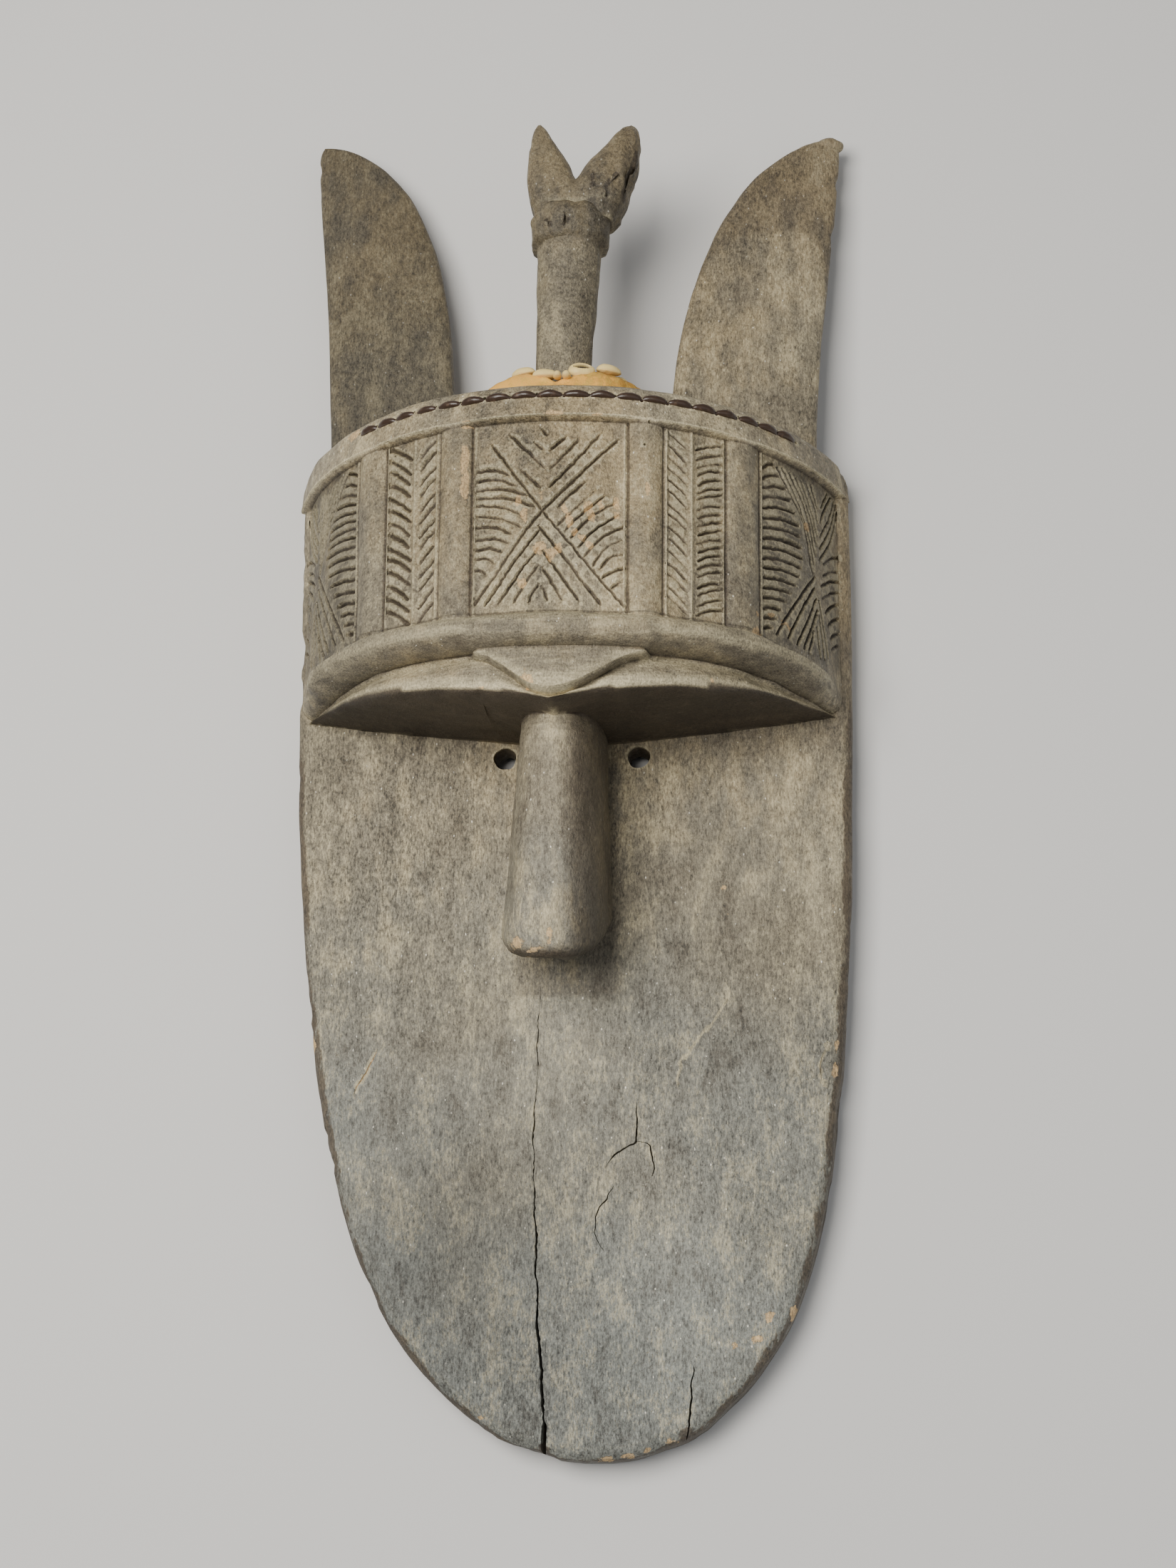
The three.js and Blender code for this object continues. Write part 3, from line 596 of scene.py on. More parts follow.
def knob_form():
    """The small knob left on the tip of the right horn."""
    form = HORNS[1]
    rings = []
    for turn in np.linspace(0.12, math.pi - 0.12, 14):
        y = BOARD_TOP + form["length"] - 4.6 - 7.0 * math.cos(turn)
        z = HORN_DEPTH - HORN_LEAN * form["length"]
        rings.append(blade(form["tip"] - 3.8, y, z, 10.6 * math.sin(turn), 6.6 * math.sin(turn), 2.2, 24))
    return loft(rings)


def post_point(reach):
    """A point on the middle line of the leaning post."""
    x, z = (foot + lean * reach for foot, lean in zip(POST_FOOT, POST_LEAN))
    return np.array([x, BOARD_TOP + reach, z])


def post_form():
    """The post, swelling to a collar at the top."""
    reach = np.concatenate([np.linspace(-14, 130, 44), np.linspace(132, 167, 30)])
    control = np.array(POST_RADII)
    rings = []
    for r in reach:
        radius = np.interp(r, control[:, 0], control[:, 1])
        x, y, z = post_point(r)
        rings.append(blade(x, y, z, radius, radius * 0.92, 2.25, 48))
    return loft(rings)


def fork_form(rows):
    """One prong of the fork, from rows of height, inner and outer edge and thickness."""
    rings = []
    for height, inner, outer, deep in spline(rows, 36):
        z = post_point(height - BOARD_TOP)[2]
        rings.append(blade((inner + outer) / 2, height, z, abs(outer - inner) / 2, deep, 2.9, 44))
    return loft(rings)


# Carved lines


# Width and depth of the cuts
CROSS_CUT = (3.4, 2.3)
CHEVRON_CUT = (3.3, 2.4)
BOW_CUT = (3.5, 2.1)
STROKE_CUT = (4.0, 2.5)
FAN_CUT = (3.4, 3.0)


def middle_panel_lines():
    """Lines of the middle panel as (family, cut, corners), from -1 to 1 across and up the panel."""
    lines = [
        (0, CROSS_CUT, [(-0.75, 0.8), (-0.42, 0.42), (-0.08, 0.04), (0.25, -0.3), (0.62, -0.66),
                        (0.97, -0.97)]),
        (1, CROSS_CUT, [(0.88, 0.84), (0.4, 0.44), (-0.08, 0.04), (-0.36, -0.25), (-0.66, -0.6),
                        (-0.98, -0.94)]),
        (0, CROSS_CUT, [(-0.13, -0.12), (0.23, -0.5), (0.45, -0.74), (0.68, -0.97)]),
        (0, CHEVRON_CUT, [(-0.52, 0.9), (-0.28, 0.7), (-0.05, 0.5)]),
        (1, CHEVRON_CUT, [(0.38, 0.83), (0.2, 0.66), (0.0, 0.49)]),
        (0, CHEVRON_CUT, [(-0.36, 0.5), (-0.22, 0.38), (-0.1, 0.29)]),
        (1, CHEVRON_CUT, [(0.66, 0.9), (0.42, 0.66), (0.18, 0.45), (0.0, 0.29)]),
        (0, CHEVRON_CUT, [(-0.2, 0.8), (-0.07, 0.7)]),
        (1, CHEVRON_CUT, [(0.22, 0.86), (0.1, 0.77), (-0.01, 0.69)]),
        (0, CHEVRON_CUT, [(-0.1, 0.94), (-0.02, 0.86)]),
    ]
    nested = ((-0.17, -0.82, None), (-0.36, -0.65, 0.41), (-0.54, -0.45, 0.2), (-0.74, -0.26, 0.0))
    for apex, left, right in nested:
        middle = (mix(left, -0.11, 0.5), mix(-0.95, apex, 0.53))
        lines.append((1, CHEVRON_CUT, [(left, -0.95), middle, (-0.11, apex)]))
        if right is not None:
            middle = (mix(right, -0.07, 0.5), mix(-0.95, apex, 0.47))
            lines.append((0, CHEVRON_CUT, [(-0.07, apex - 0.03), middle, (right, -0.95)]))
    bows = (
        (0.52, -0.5, 0.44), (0.41, -0.42, 0.33), (0.31, -0.27, 0.21), (0.226, -0.17, 0.085),
        (0.145, -0.31, -0.016), (0.03, -0.33, -0.145), (-0.09, -0.455, -0.21), (-0.234, -0.49, -0.306),
        (-0.339, -0.59, -0.395), (-0.435, -0.676, -0.516), (-0.56, -0.8, -0.63),
    )
    for i, (start, inner, end) in enumerate(bows):
        middle = (mix(-0.97, inner, 0.55), mix(start, end, 0.55) + 0.045)
        lines.append((2 + i % 2, BOW_CUT, [(-0.97, start), middle, (inner, end)]))
    fans = (
        [(0.1, 0.06), (0.28, 0.22), (0.46, 0.35)], [(0.1, -0.14), (0.34, 0.065), (0.6, 0.27)],
        [(0.19, -0.2), (0.42, 0.0), (0.72, 0.21)], [(0.27, -0.27), (0.54, -0.03), (0.865, 0.145)],
        [(0.37, -0.37), (0.6, -0.16), (0.88, 0.0)], [(0.44, -0.48), (0.67, -0.26), (0.98, -0.11)],
        [(0.54, -0.58), (0.71, -0.37), (0.93, -0.26)], [(0.64, -0.6), (0.8, -0.45), (0.97, -0.41)],
        [(0.67, -0.69), (0.81, -0.61), (0.97, -0.56)], [(0.78, -0.8), (0.95, -0.69)],
    )
    return lines + [(2 + i % 2, BOW_CUT, fan) for i, fan in enumerate(fans)]


PANEL_CROSSING = ((518, 534, 558, 575, 600, 620, 643), (48, 51, 56, 58, 56.5, 52.6, 48.4))


def side_panel_lines(side):
    """Lines of a side panel in angle and height: nested chevrons over a crossing, and strokes."""
    lines = [
        (0, CROSS_CUT, [(47.6, 645), (52.1, 625), (56.2, 609), (60, 575)]),
        (3, FAN_CUT, [(49.6, 643.5), (54.9, 620), (58.6, 600), (60.3, 583)]),
        (1, FAN_CUT, [(51.6, 642), (57.4, 617), (60.9, 590)]),
        (1, FAN_CUT, [(71.5, 641), (67, 609), (62.2, 588)]),
        (3, FAN_CUT, [(53.7, 641), (58.6, 618.5), (61.2, 598)]),
        (3, FAN_CUT, [(70.6, 643), (66.4, 615.5), (62.3, 597)]),
        (2, FAN_CUT, [(55.8, 640), (59.6, 620), (61.5, 606)]),
        (2, FAN_CUT, [(69.5, 644), (65.8, 622), (62.4, 606)]),
        (3, FAN_CUT, [(57.5, 642), (60.4, 627), (61.7, 616)]),
        (3, FAN_CUT, [(67.8, 645), (64.6, 630), (62.6, 617)]),
        (0, FAN_CUT, [(59.2, 643), (61.5, 627)]),
        (0, FAN_CUT, [(66, 645), (62.9, 629)]),
        (1, CROSS_CUT, [(60.9, 575), (56.5, 558), (51.2, 535), (47.6, 517)]),
        (0, FAN_CUT, [(60.6, 566), (55.6, 543), (51.1, 518)]),
        (2, FAN_CUT, [(53.9, 516), (57.6, 537), (61.3, 559)]),
        (3, FAN_CUT, [(56.1, 515.5), (59.0, 533), (61.6, 551)]),
        (1, FAN_CUT, [(62.1, 559), (64, 539), (65.6, 519)]),
        (3, FAN_CUT, [(62.0, 548), (63.1, 532), (64.0, 516)]),
        (0, FAN_CUT, [(57.9, 514), (59.9, 534)]),
        (1, FAN_CUT, [(61.0, 538), (62.2, 515)]),
    ]
    strokes = 17
    for i in range(strokes):
        height = mix(636, 519, i / (strokes - 1))
        border = np.interp(height, *PANEL_CROSSING) - 1.6
        rise = mix(7.5, 3.0, i / (strokes - 1))
        end = max(border, 46.8)
        middle = (mix(43.9, end, 0.5), height + rise * 0.75)
        lines.append((i % 2, STROKE_CUT, [(43.9, height), middle, (end, height + rise)]))
    arcs = (
        (63.9, 588, 72, 604), (63.9, 579, 71.5, 592), (62.9, 570, 72, 585), (63.3, 561, 72, 577),
        (64.6, 551.5, 72, 568), (65.8, 543.7, 72, 557), (67, 535.5, 72, 546), (67.3, 527.5, 71.5, 536),
    )
    for i, (near, low, far, high) in enumerate(arcs):
        middle = (mix(near, far, 0.5), mix(low, high, 0.62))
        lines.append((2 + i % 2, BOW_CUT, [(near, low), middle, (far, high)]))
    if side < 0:
        return [(family, cut, [(-a, h + 7 * math.exp(-((h - 578) / 30) ** 2)) for a, h in corners])
                for family, cut, corners in lines]
    return lines


def frieze_lines():
    """Every carved line of the frieze as (family, cut, corners in angle and height)."""
    low, high = PANEL_LOW + 1.0, PANEL_HIGH - 2.0
    lines = side_panel_lines(-1) + side_panel_lines(1)
    for family, cut, corners in middle_panel_lines():
        placed = [(mix(-CENTRE_EDGE, CENTRE_EDGE, (u + 1) / 2), mix(low, high, (v + 1) / 2))
                  for u, v in corners]
        lines.append((family, cut, placed))
    columns = (
        (-INNER_RIB_END - 0.7, -HERRING_MIDDLE + 0.7, 12.5, 13, (4.7, 3.1)),
        (-HERRING_MIDDLE - 0.7, -OUTER_RIB_START + 0.5, -15.0, 14, (4.4, 2.8)),
        (INNER_RIB_END + 0.7, HERRING_MIDDLE - 0.7, 11.5, 15, (3.2, 1.9)),
        (HERRING_MIDDLE + 0.7, OUTER_RIB_START - 0.4, -8.0, 20, (3.1, 2.1)),
    )
    rng = np.random.default_rng(11)
    for start, end, fall, count, cut in columns:
        for i in range(count):
            height = mix(low + 7, high - 7, i / (count - 1)) + rng.uniform(-1.1, 1.1)
            short = rng.uniform(0, 0.1)
            a = (mix(start, end, short), height + fall / 2)
            b = (mix(start, end, 0.5), height + rng.uniform(0.4, 1.6))
            c = (mix(start, end, 1 - short * 0.5), height - fall / 2 + rng.uniform(-0.8, 0.8))
            lines.append((i % 2 + (0 if fall > 0 else 2), cut, [a, b, c]))
    return lines


def groove_form(corners, rng, width, depth):
    """A V-shaped cut along corners given as angle and height, tapered at both ends."""
    corners = np.asarray(corners, float)
    scale = np.array([MM_PER_DEGREE, 1.0])
    path = along(spline(corners, 8 * len(corners)) * scale, 2.6) / scale
    count = len(path)
    t = np.linspace(0, 1, count)
    taper = np.clip(np.minimum(t, 1 - t) * count * 0.5 + 0.42, 0, 1)
    path = path + rng.normal(0, 1, (count, 2)) * [0.06, 0.2] * taper[:, None]
    swing = 1 + 0.22 * np.sin(t * rng.uniform(2, 7) + rng.uniform(0, 6))
    deep = depth * rng.uniform(0.75, 1.2) * taper * swing
    wide = width * rng.uniform(0.85, 1.15) * (0.55 + 0.45 * taper)
    rise = 0.9
    centre = on_drum(path[:, 0], path[:, 1], 0)
    turn = np.radians(path[:, 0])
    out = np.stack([np.sin(turn), np.zeros(count), np.cos(turn)], 1)
    tangent = np.gradient(centre, axis=0)
    tangent /= np.linalg.norm(tangent, axis=1)[:, None]
    side = np.cross(out, tangent)
    reach = (wide / 2 * (1 + rise / np.maximum(deep, 0.9)))[:, None]
    lift = out * rise
    top = centre + lift
    return loft(np.stack([centre - out * deep[:, None], top + side * reach, top - side * reach], 1))


def crack_form(seed, corners, widths, depth, front=BOARD_THICKNESS):
    """A thin ragged wedge cut down into the front of the wood."""
    rng = np.random.default_rng(seed)
    path = along(corners, 2.4)
    count = len(path)
    wide = np.interp(np.linspace(0, 1, count), np.linspace(0, 1, len(widths)), widths)
    wide = wide * rng.uniform(0.75, 1.3, count)
    ragged = np.cumsum(rng.normal(0, 0.34, count))
    ragged -= np.linspace(ragged[0], ragged[-1], count)
    tangent = np.gradient(path, axis=0)
    tangent /= np.linalg.norm(tangent, axis=1)[:, None]
    side = np.stack([-tangent[:, 1], tangent[:, 0]], 1)
    middle = path + side * ragged[:, None]
    half = side * wide[:, None] / 2
    taper = np.clip(np.minimum(np.arange(count), np.arange(count)[::-1]) / 4, 0.15, 1)
    above = np.full(count, front + 3)
    corners = ((middle, front - depth * taper), (middle + half, above), (middle - half, above))
    return loft(np.stack([np.column_stack(corner) for corner in corners], 1))


# Cracks and scratches: corners, widths along them, depth, and the front they are cut from
CRACKS = [
    ([(-21.2, 318), (-20.7, 247), (-22.2, 200.5), (-22.2, 132.4), (-18.2, 66.1), (-15.6, 3.8), (-15.2, -6)],
     [0.8, 1.2, 1.7, 2.0, 2.2, 2.7, 3.3], 12),
    ([(41.5, 232), (42.4, 214), (41.8, 198.1), (36.3, 196.4), (27.5, 189.7), (22.5, 182.4)],
     [0.4, 0.8, 1.3, 1.6, 1.4, 0.7], 6),
    ([(41.9, 198.6), (50.9, 196.6), (53.6, 182), (52.1, 176.5)], [1.1, 0.9, 0.5], 5),
    ([(27.5, 171), (20.6, 160.2), (15.1, 152.6), (15.1, 140.5), (21, 128.4), (20, 114.1)],
     [0.6, 1.5, 1.7, 1.2, 0.9, 0.5], 6),
    ([(77, 58), (76.4, 50.8), (74, 30), (71, 10.3), (70, 2)], [0.3, 0.9, 1.1, 1.6, 1.8], 8),
]
SCRATCHES = [
    ([(104, 300), (101, 290), (94, 279.5), (85, 268.6), (77, 261), (70.9, 252), (69, 233)],
     [0.7, 1.6, 1.2, 1.9, 0.9, 1.5, 0.6], 0.8),
    ([(-128, 262), (-136, 246), (-143, 232)], [0.5, 1.2, 0.5], 0.8),
    ([(166, 262), (161, 246), (163, 232)], [0.6, 1.5, 0.6], 0.8),
    ([(122, 62), (134, 71), (141, 75)], [0.6, 2.0, 0.6], 0.8),
]
FORK_CRACKS = [
    ([(22.6, 861), (21.8, 855), (22.6, 849.5)], [0.6, 2.2, 0.5], 5, 115),
    ([(31.8, 842.5), (33.1, 850.8), (36.1, 855.3), (38.8, 859)], [0.5, 1.2, 1.4, 0.5], 5, 114),
    ([(43, 846), (46, 858), (51, 870), (53.5, 882)], [0.6, 1.6, 1.3, 0.5], 5, 108),
    ([(3.0, 828), (3.8, 823.5), (2.6, 819.5)], [0.6, 1.8, 0.6], 4, 122),
    ([(-12, 825), (-8, 822), (-9, 818)], [0.6, 1.7, 0.6], 4, 121),
]
WORMHOLES_ON_DRUM = [(11.3, 653.8), (18.7, 648), (17.9, 631.3), (5.9, 650), (24.5, 655), (-33, 640)]


def wormhole(centre, angle, radius=0.9):
    """A small round hole bored into the drum, facing out at the angle."""
    out = np.array([math.sin(math.radians(angle)), 0, math.cos(math.radians(angle))])
    side = np.cross(out, [0, 1, 0])
    up = np.cross(side, out)
    turns = np.linspace(0, 2 * math.pi, 8, endpoint=False)
    circle = side * np.cos(turns)[:, None] + up * np.sin(turns)[:, None]
    return loft([centre + out * reach + circle * r for reach, r in ((-6, radius * 0.7), (3, radius))])


def eye_form(side):
    """A slightly uneven eye hole through the board."""
    x = side * EYE_SPACING / 2
    y = EYE_HEIGHT + LEVEL_SLOPE * x
    turns = np.linspace(0, 2 * math.pi, 28, endpoint=False)
    uneven = 1 + 0.03 * np.sin(3 * turns + side) + 0.02 * np.sin(5 * turns)
    rings = []
    for z, radius in ((-5.0, 6.6), (24.0, 6.8), (31.0, 7.0), (34.0, 7.6), (40.0, 9.0)):
        r = radius * uneven
        rings.append(np.stack([x + r * np.cos(turns), y + r * np.sin(turns), np.full(len(turns), z)], 1))
    return loft(rings)


def stitch_gaps():
    """Angles at which the thong dives into the wood."""
    return np.linspace(LACING_SPAN[0], LACING_SPAN[1], bpy.context.scene.mask_sizes.stitches + 1)


# Node maths


class Value:
    """A node's socket that can be used in sums and products."""

    def __init__(self, nodes, socket):
        self.nodes, self.socket = nodes, socket

    def __add__(self, other):
        return self.nodes.maths("ADD", self, other)

    def __sub__(self, other):
        return self.nodes.maths("SUBTRACT", self, other)

    def __rsub__(self, other):
        return self.nodes.maths("SUBTRACT", other, self)

    def __mul__(self, other):
        return self.nodes.maths("MULTIPLY", self, other)

    def __pow__(self, other):
        return self.nodes.maths("POWER", self, other)

    __radd__, __rmul__ = __add__, __mul__

    def clamped(self, low=0.0, high=1.0):
        return self.nodes.node("ShaderNodeClamp", {}, self, low, high)

    def ranged(self, low, high):
        """0 to 1, spread from low to high."""
        return self.nodes.node("ShaderNodeMapRange", {}, self, 0.0, 1.0, low, high)

    def step(self, low, high):
        """0 below low, 1 above high, smooth between."""
        smoothed = {"interpolation_type": "SMOOTHSTEP"}
        return self.nodes.node("ShaderNodeMapRange", smoothed, self, low, high, 0.0, 1.0)


class Nodes:
    """The nodes of one tree, made by a single method."""

    def __init__(self, tree):
        self.tree = tree

    def plug(self, socket, value):
        if isinstance(value, Value):
            self.tree.links.new(value.socket, socket)
        elif value is not None:
            socket.default_value = value

    def node(self, kind, settings, *inputs, out=0, **named):
        made = self.tree.nodes.new(kind)
        for key, value in settings.items():
            setattr(made, key, value)
        for slot, value in enumerate(inputs):
            self.plug(made.inputs[slot], value)
        for slot, value in named.items():
            self.plug(made.inputs[slot.replace("_", " ")], value)
        return Value(self, made.outputs[out])

    def maths(self, operation, *values):
        return self.node("ShaderNodeMath", {"operation": operation}, *values)

    def vector(self, operation, *values, **named):
        return self.node("ShaderNodeVectorMath", {"operation": operation}, *values, **named)


class Paint(Nodes):
    """The nodes of one material, painted on the piece where it lies."""

    def __init__(self, name):
        self.material = bpy.data.materials.new(name)
        self.material.use_nodes = True
        super().__init__(self.material.node_tree)
        self.tree.nodes.clear()
        output = self.tree.nodes.new("ShaderNodeOutputMaterial")
        self.shader = self.tree.nodes.new("ShaderNodeBsdfPrincipled")
        self.tree.links.new(self.shader.outputs[0], output.inputs["Surface"])
        self.coordinates = self.node("ShaderNodeTexCoord", {}, out="Object")

    def axis(self, number):
        return self.node("ShaderNodeSeparateXYZ", {}, self.coordinates, out=number)

    def moved(self, scale, location=(0, 0, 0)):
        return self.node("ShaderNodeMapping", {}, self.coordinates, location, (0, 0, 0), scale)

    def noise(self, scale, detail=3.0, rough=0.55, stretch=(1, 1, 1), place=(0, 0, 0)):
        return self.node("ShaderNodeTexNoise", {"noise_dimensions": "3D"}, Vector=self.moved(stretch, place),
                         Scale=scale, Detail=detail, Roughness=rough, out="Fac")

    def cells(self, scale, stretch=(1, 1, 1)):
        return self.node("ShaderNodeTexVoronoi", {"feature": "F1"}, Vector=self.moved(stretch), Scale=scale,
                         out="Distance")

    def attribute(self, name):
        return self.node("ShaderNodeAttribute", {"attribute_name": name}, out="Fac")

    def mixed(self, first, second, factor):
        return self.node("ShaderNodeMix", {"data_type": "RGBA"}, factor, *[None] * 5, first, second, out=2)

    def bumped(self, height, strength, distance, under=None):
        return self.node("ShaderNodeBump", {}, Height=height, Strength=strength, Distance=distance,
                         Normal=under, out="Normal")

    def set(self, **sockets):
        for name, value in sockets.items():
            self.plug(self.shader.inputs[name.replace("_", " ")], value)
        return self.material


def rgba(colour):
    return (*colour, 1.0)


# Settings


def tint(name, about, value):
    return bpy.props.FloatVectorProperty(name=name, description=about, subtype="COLOR", default=value)


def ratio(name, about, low, high):
    return bpy.props.FloatProperty(name=name, description=about, default=1.0, min=low, max=high)


def span(name, about, value, low, high):
    return bpy.props.FloatProperty(
        name=name, description=about, default=value, min=low, max=high, unit="LENGTH")


class MaskColours(bpy.types.PropertyGroup):
    """Colours of the finishes, in linear light."""
    paint: tint("Paint", "Worn dark paint over the carved wood", (0.222, 0.190, 0.128))
    cool: tint("Cool paint", "Paint towards the chin", (0.208, 0.216, 0.192))
    # Also the painted highlight on the ridges
    dust_and_highlight: tint("Dust", "Pale dust and kaolin in the grain", (0.46, 0.40, 0.255))
    ochre: tint("Ochre", "Ochre stain over the brow and horns", (0.36, 0.27, 0.135))
    # Also the colour of the painted shade under the brow, beside the nose, in the cuts and under the pad
    brown: tint("Brown wood", "Dark wood where paint has worn off", (0.060, 0.042, 0.026))
    fleck: tint("Flecks", "Small pale flakes on the paint", (0.80, 0.76, 0.64))
    raw: tint("Raw wood", "Fresh wood in chips", (0.56, 0.39, 0.20))
    leather: tint("Leather", "Tan pad", (0.88, 0.47, 0.10))
    shell: tint("Shell", "Cream cowrie shells", (0.86, 0.66, 0.27))
    shell_pale: tint("Pale shell", "Lighter patches on the shells", (0.92, 0.76, 0.40))
    # Brown stain with painted shade and the leather's painted reflection, at each shell's foot
    shell_stain_and_shade: tint("Shell stain", "Brown stain round the foot of each shell", (0.55, 0.33, 0.13))
    # The slit's dark is its painted shade
    slit: tint("Slit", "Dark inside of a shell", (0.025, 0.016, 0.010))
    thong: tint("Thong", "Glossy dark lacing", (0.040, 0.022, 0.013))
    thong_worn: tint("Worn thong", "Browner leather where the lacing is rubbed", (0.17, 0.10, 0.06))


class MaskSizes(bpy.types.PropertyGroup):
    """Sizes of the finer carving."""
    groove_width: ratio("Line width", "Factor on the width of the carved lines", 0.5, 1.4)
    groove_depth: ratio("Line depth", "Factor on the depth of the carved lines", 0.4, 1.6)
    unevenness: span("Unevenness", "How far the hand-cut surface wanders", 0.0009, 0, 0.003)
    stitches: bpy.props.IntProperty(
        name="Stitches", description="Turns of the lacing", default=19, min=4, max=60)
    thong_wide: span("Thong", "Half width of the thong at its widest", 0.0026, 0.001, 0.006)
    shell_length: span("Shell length", "Length of a cowrie shell", 0.017, 0.01, 0.03)


class MaskStage(bpy.types.PropertyGroup):
    """Floor, lights and camera."""
    floor_colour: tint("Floor", "Pale floor", (0.72, 0.71, 0.69))
    key_power: bpy.props.FloatProperty(
        name="Key light", description="Power of the main light", unit="POWER", default=62.0)
    fill_power: bpy.props.FloatProperty(
        name="Fill light", description="Power of the fill light", unit="POWER", default=7.0)
    ambient: bpy.props.FloatProperty(
        name="Ambient", description="Strength of the even light all round", default=0.24)
    lens: bpy.props.FloatProperty(name="Lens", description="Focal length", unit="CAMERA", default=54.1)
    distance: span("Distance", "From the camera to the face", 1.59, 0.3, 10)
    tilt: bpy.props.FloatProperty(
        name="Tilt", description="Towards the chin from straight above", subtype="ANGLE",
        default=math.radians(18))
    turn: bpy.props.FloatProperty(
        name="Turn", description="Towards the right from straight above", subtype="ANGLE",
        default=math.radians(5.5))


# Finishes


def painted_wood(name, colours):
    """Matt worn paint: streaked grain, dust and painted highlight on ridges, painted shade in cuts, raw
    chips.
    """
    p = Paint(name)
    y, z = p.axis(1), p.axis(2)
    board = z.step(0.062, 0.048)
    streak = p.noise(330, 5, 0.7, stretch=(1, 0.42, 1))
    around = p.noise(330, 4, 0.66, stretch=(0.14, 1, 0.3))
    fibre = p.noise(1100, 3, 0.6, stretch=(1, 0.26, 1))
    scratch = p.noise(230, 4, 0.66, place=(0.7, 0, 0))
    grit = p.noise(1500, 2, 0.6)
    patch = p.noise(62, 4, 0.62, stretch=(1, 0.42, 1), place=(0.3, 0.1, 0))
    broad = p.noise(15, 3, 0.55, stretch=(1, 0.6, 1), place=(1.1, 0.4, 0.2))
    hue = p.noise(9, 3, 0.5, stretch=(1, 0.8, 1), place=(4.1, 2.4, 0.2))
    cut, edge, chip = p.attribute("cut"), p.attribute("edge"), p.attribute("chip")
    shade, tone, ridge = p.attribute("shade"), p.attribute("tone"), p.attribute("ridge")

    cool = (0.04 - y * 1.9 + (hue - 0.5) * 1.1).step(0.0, 0.95)
    base = p.mixed(rgba(colours.paint), rgba(colours.cool), cool)
    ochre = hue * 0.9 + patch * 0.7 + broad * 0.3 + y.step(0.27, 0.42) * 0.16 - 0.88 - cool * 0.3
    base = p.mixed(base, rgba(colours.ochre), ochre.step(0.0, 0.28) * 0.6)
    rim = y.step(0.036, 0.026) * y.step(-0.032, -0.024) * (1 - board)
    upright = (board + y.step(-0.024, -0.032)).clamped()
    grain = p.mixed(p.mixed(scratch, streak, upright * 0.75), around, rim * 0.85)
    fine = grain * 0.45 + fibre * 0.3 + grit * 0.25
    pale = (fine * 1.1 + patch * 0.55 + broad * 0.35 - 1.0).step(0.0, 0.12)
    base = p.mixed(base, rgba(colours.dust_and_highlight), pale * 0.5)
    dirt = (0.93 - fine * 1.1 - patch * 0.5 - broad * 0.35).step(-0.02, 0.11)
    base = p.mixed(base, rgba(colours.brown), dirt * 0.48)
    pits = (scratch * 0.7 + grit * 0.7 - 0.83).step(0.0, 0.07) * (0.85 - patch).step(0.1, 0.5)
    base = p.mixed(base, rgba(colours.brown), pits * 0.7)
    flecks = (0.11 - p.cells(200, (1, 0.6, 1))).step(0.0, 0.04) * (scratch - 0.45).step(0.0, 0.1)
    base = p.mixed(base, rgba(colours.fleck), flecks * 0.85)
    # Pale dust and painted highlight on convex ridges and rubbed crests
    base = p.mixed(base, rgba(colours.dust_and_highlight), (ridge * 1.25 + fine * 0.9 - 0.72).step(0.0, 0.42) * 0.75)
    # Dark worn wood, and painted shade in the cove under the rim
    worn = (edge * 1.35 + grain * 1.6 + patch * 2.2 + broad * 0.6 - 3.15).step(0.0, 0.3)
    base = p.mixed(base, rgba(colours.brown), worn * 0.85)
    # Painted shade under the brow and rim, beside and on the nose, and in the back hollow
    base = p.mixed(base, rgba(colours.brown), (shade * (0.7 + 0.7 * patch)).clamped() * 0.9)
    # Painted shade in the cuts, cracks, stitch holes and eye holes
    base = p.mixed(base, rgba(colours.brown), (cut * 1.25 - scratch * 0.55 + 0.12).step(0.15, 0.75) * 0.8)
    raw = (chip * 1.5 + scratch * 1.5 + grit * 0.4 - 1.66).step(0.0, 0.12)
    base = p.mixed(base, rgba(colours.raw), raw * 0.9)
    round_specks = p.noise(760, 3, 0.75, stretch=(1, 0.7, 1), place=(5, 1, 2))
    long_specks = p.noise(860, 4, 0.74, stretch=(1, 0.3, 1), place=(3, 1, 2))
    speckle = p.mixed(round_specks, long_specks, upright * 0.65)
    cloud = p.noise(7, 5, 0.55, stretch=(1, 0.7, 1), place=(2.2, 7.1, 0.4))
    light = (1 + (speckle - 0.5) * (2.7 + upright * 1.7) + (cloud - 0.5) * 1.5 + (patch - 0.5) * 0.5
             + (grain - 0.5) * (0.8 + upright * 0.7))
    # The tone's painted shade darkens the brow's underside, the nose's right flank and the drum's sides
    dark = p.vector("SCALE", base, Scale=tone * light.clamped(0.25, 2.2))
    height = grain * 0.8 + fibre * 0.25 + scratch * 0.5 + patch * 0.5 + speckle * 0.55 - pits * 0.5
    coarse = p.bumped(height - raw * 0.3, 0.75, 0.0016)
    normal = p.bumped(grit, 0.22, 0.0004, coarse)
    rough = 0.62 - (scratch * 1.4 - 0.7).step(0.0, 0.3) * 0.2 - (1 - board) * 0.06 + raw * 0.2
    return p.set(Base_Color=dark, Roughness=rough, Normal=normal, Specular_IOR_Level=0.5)


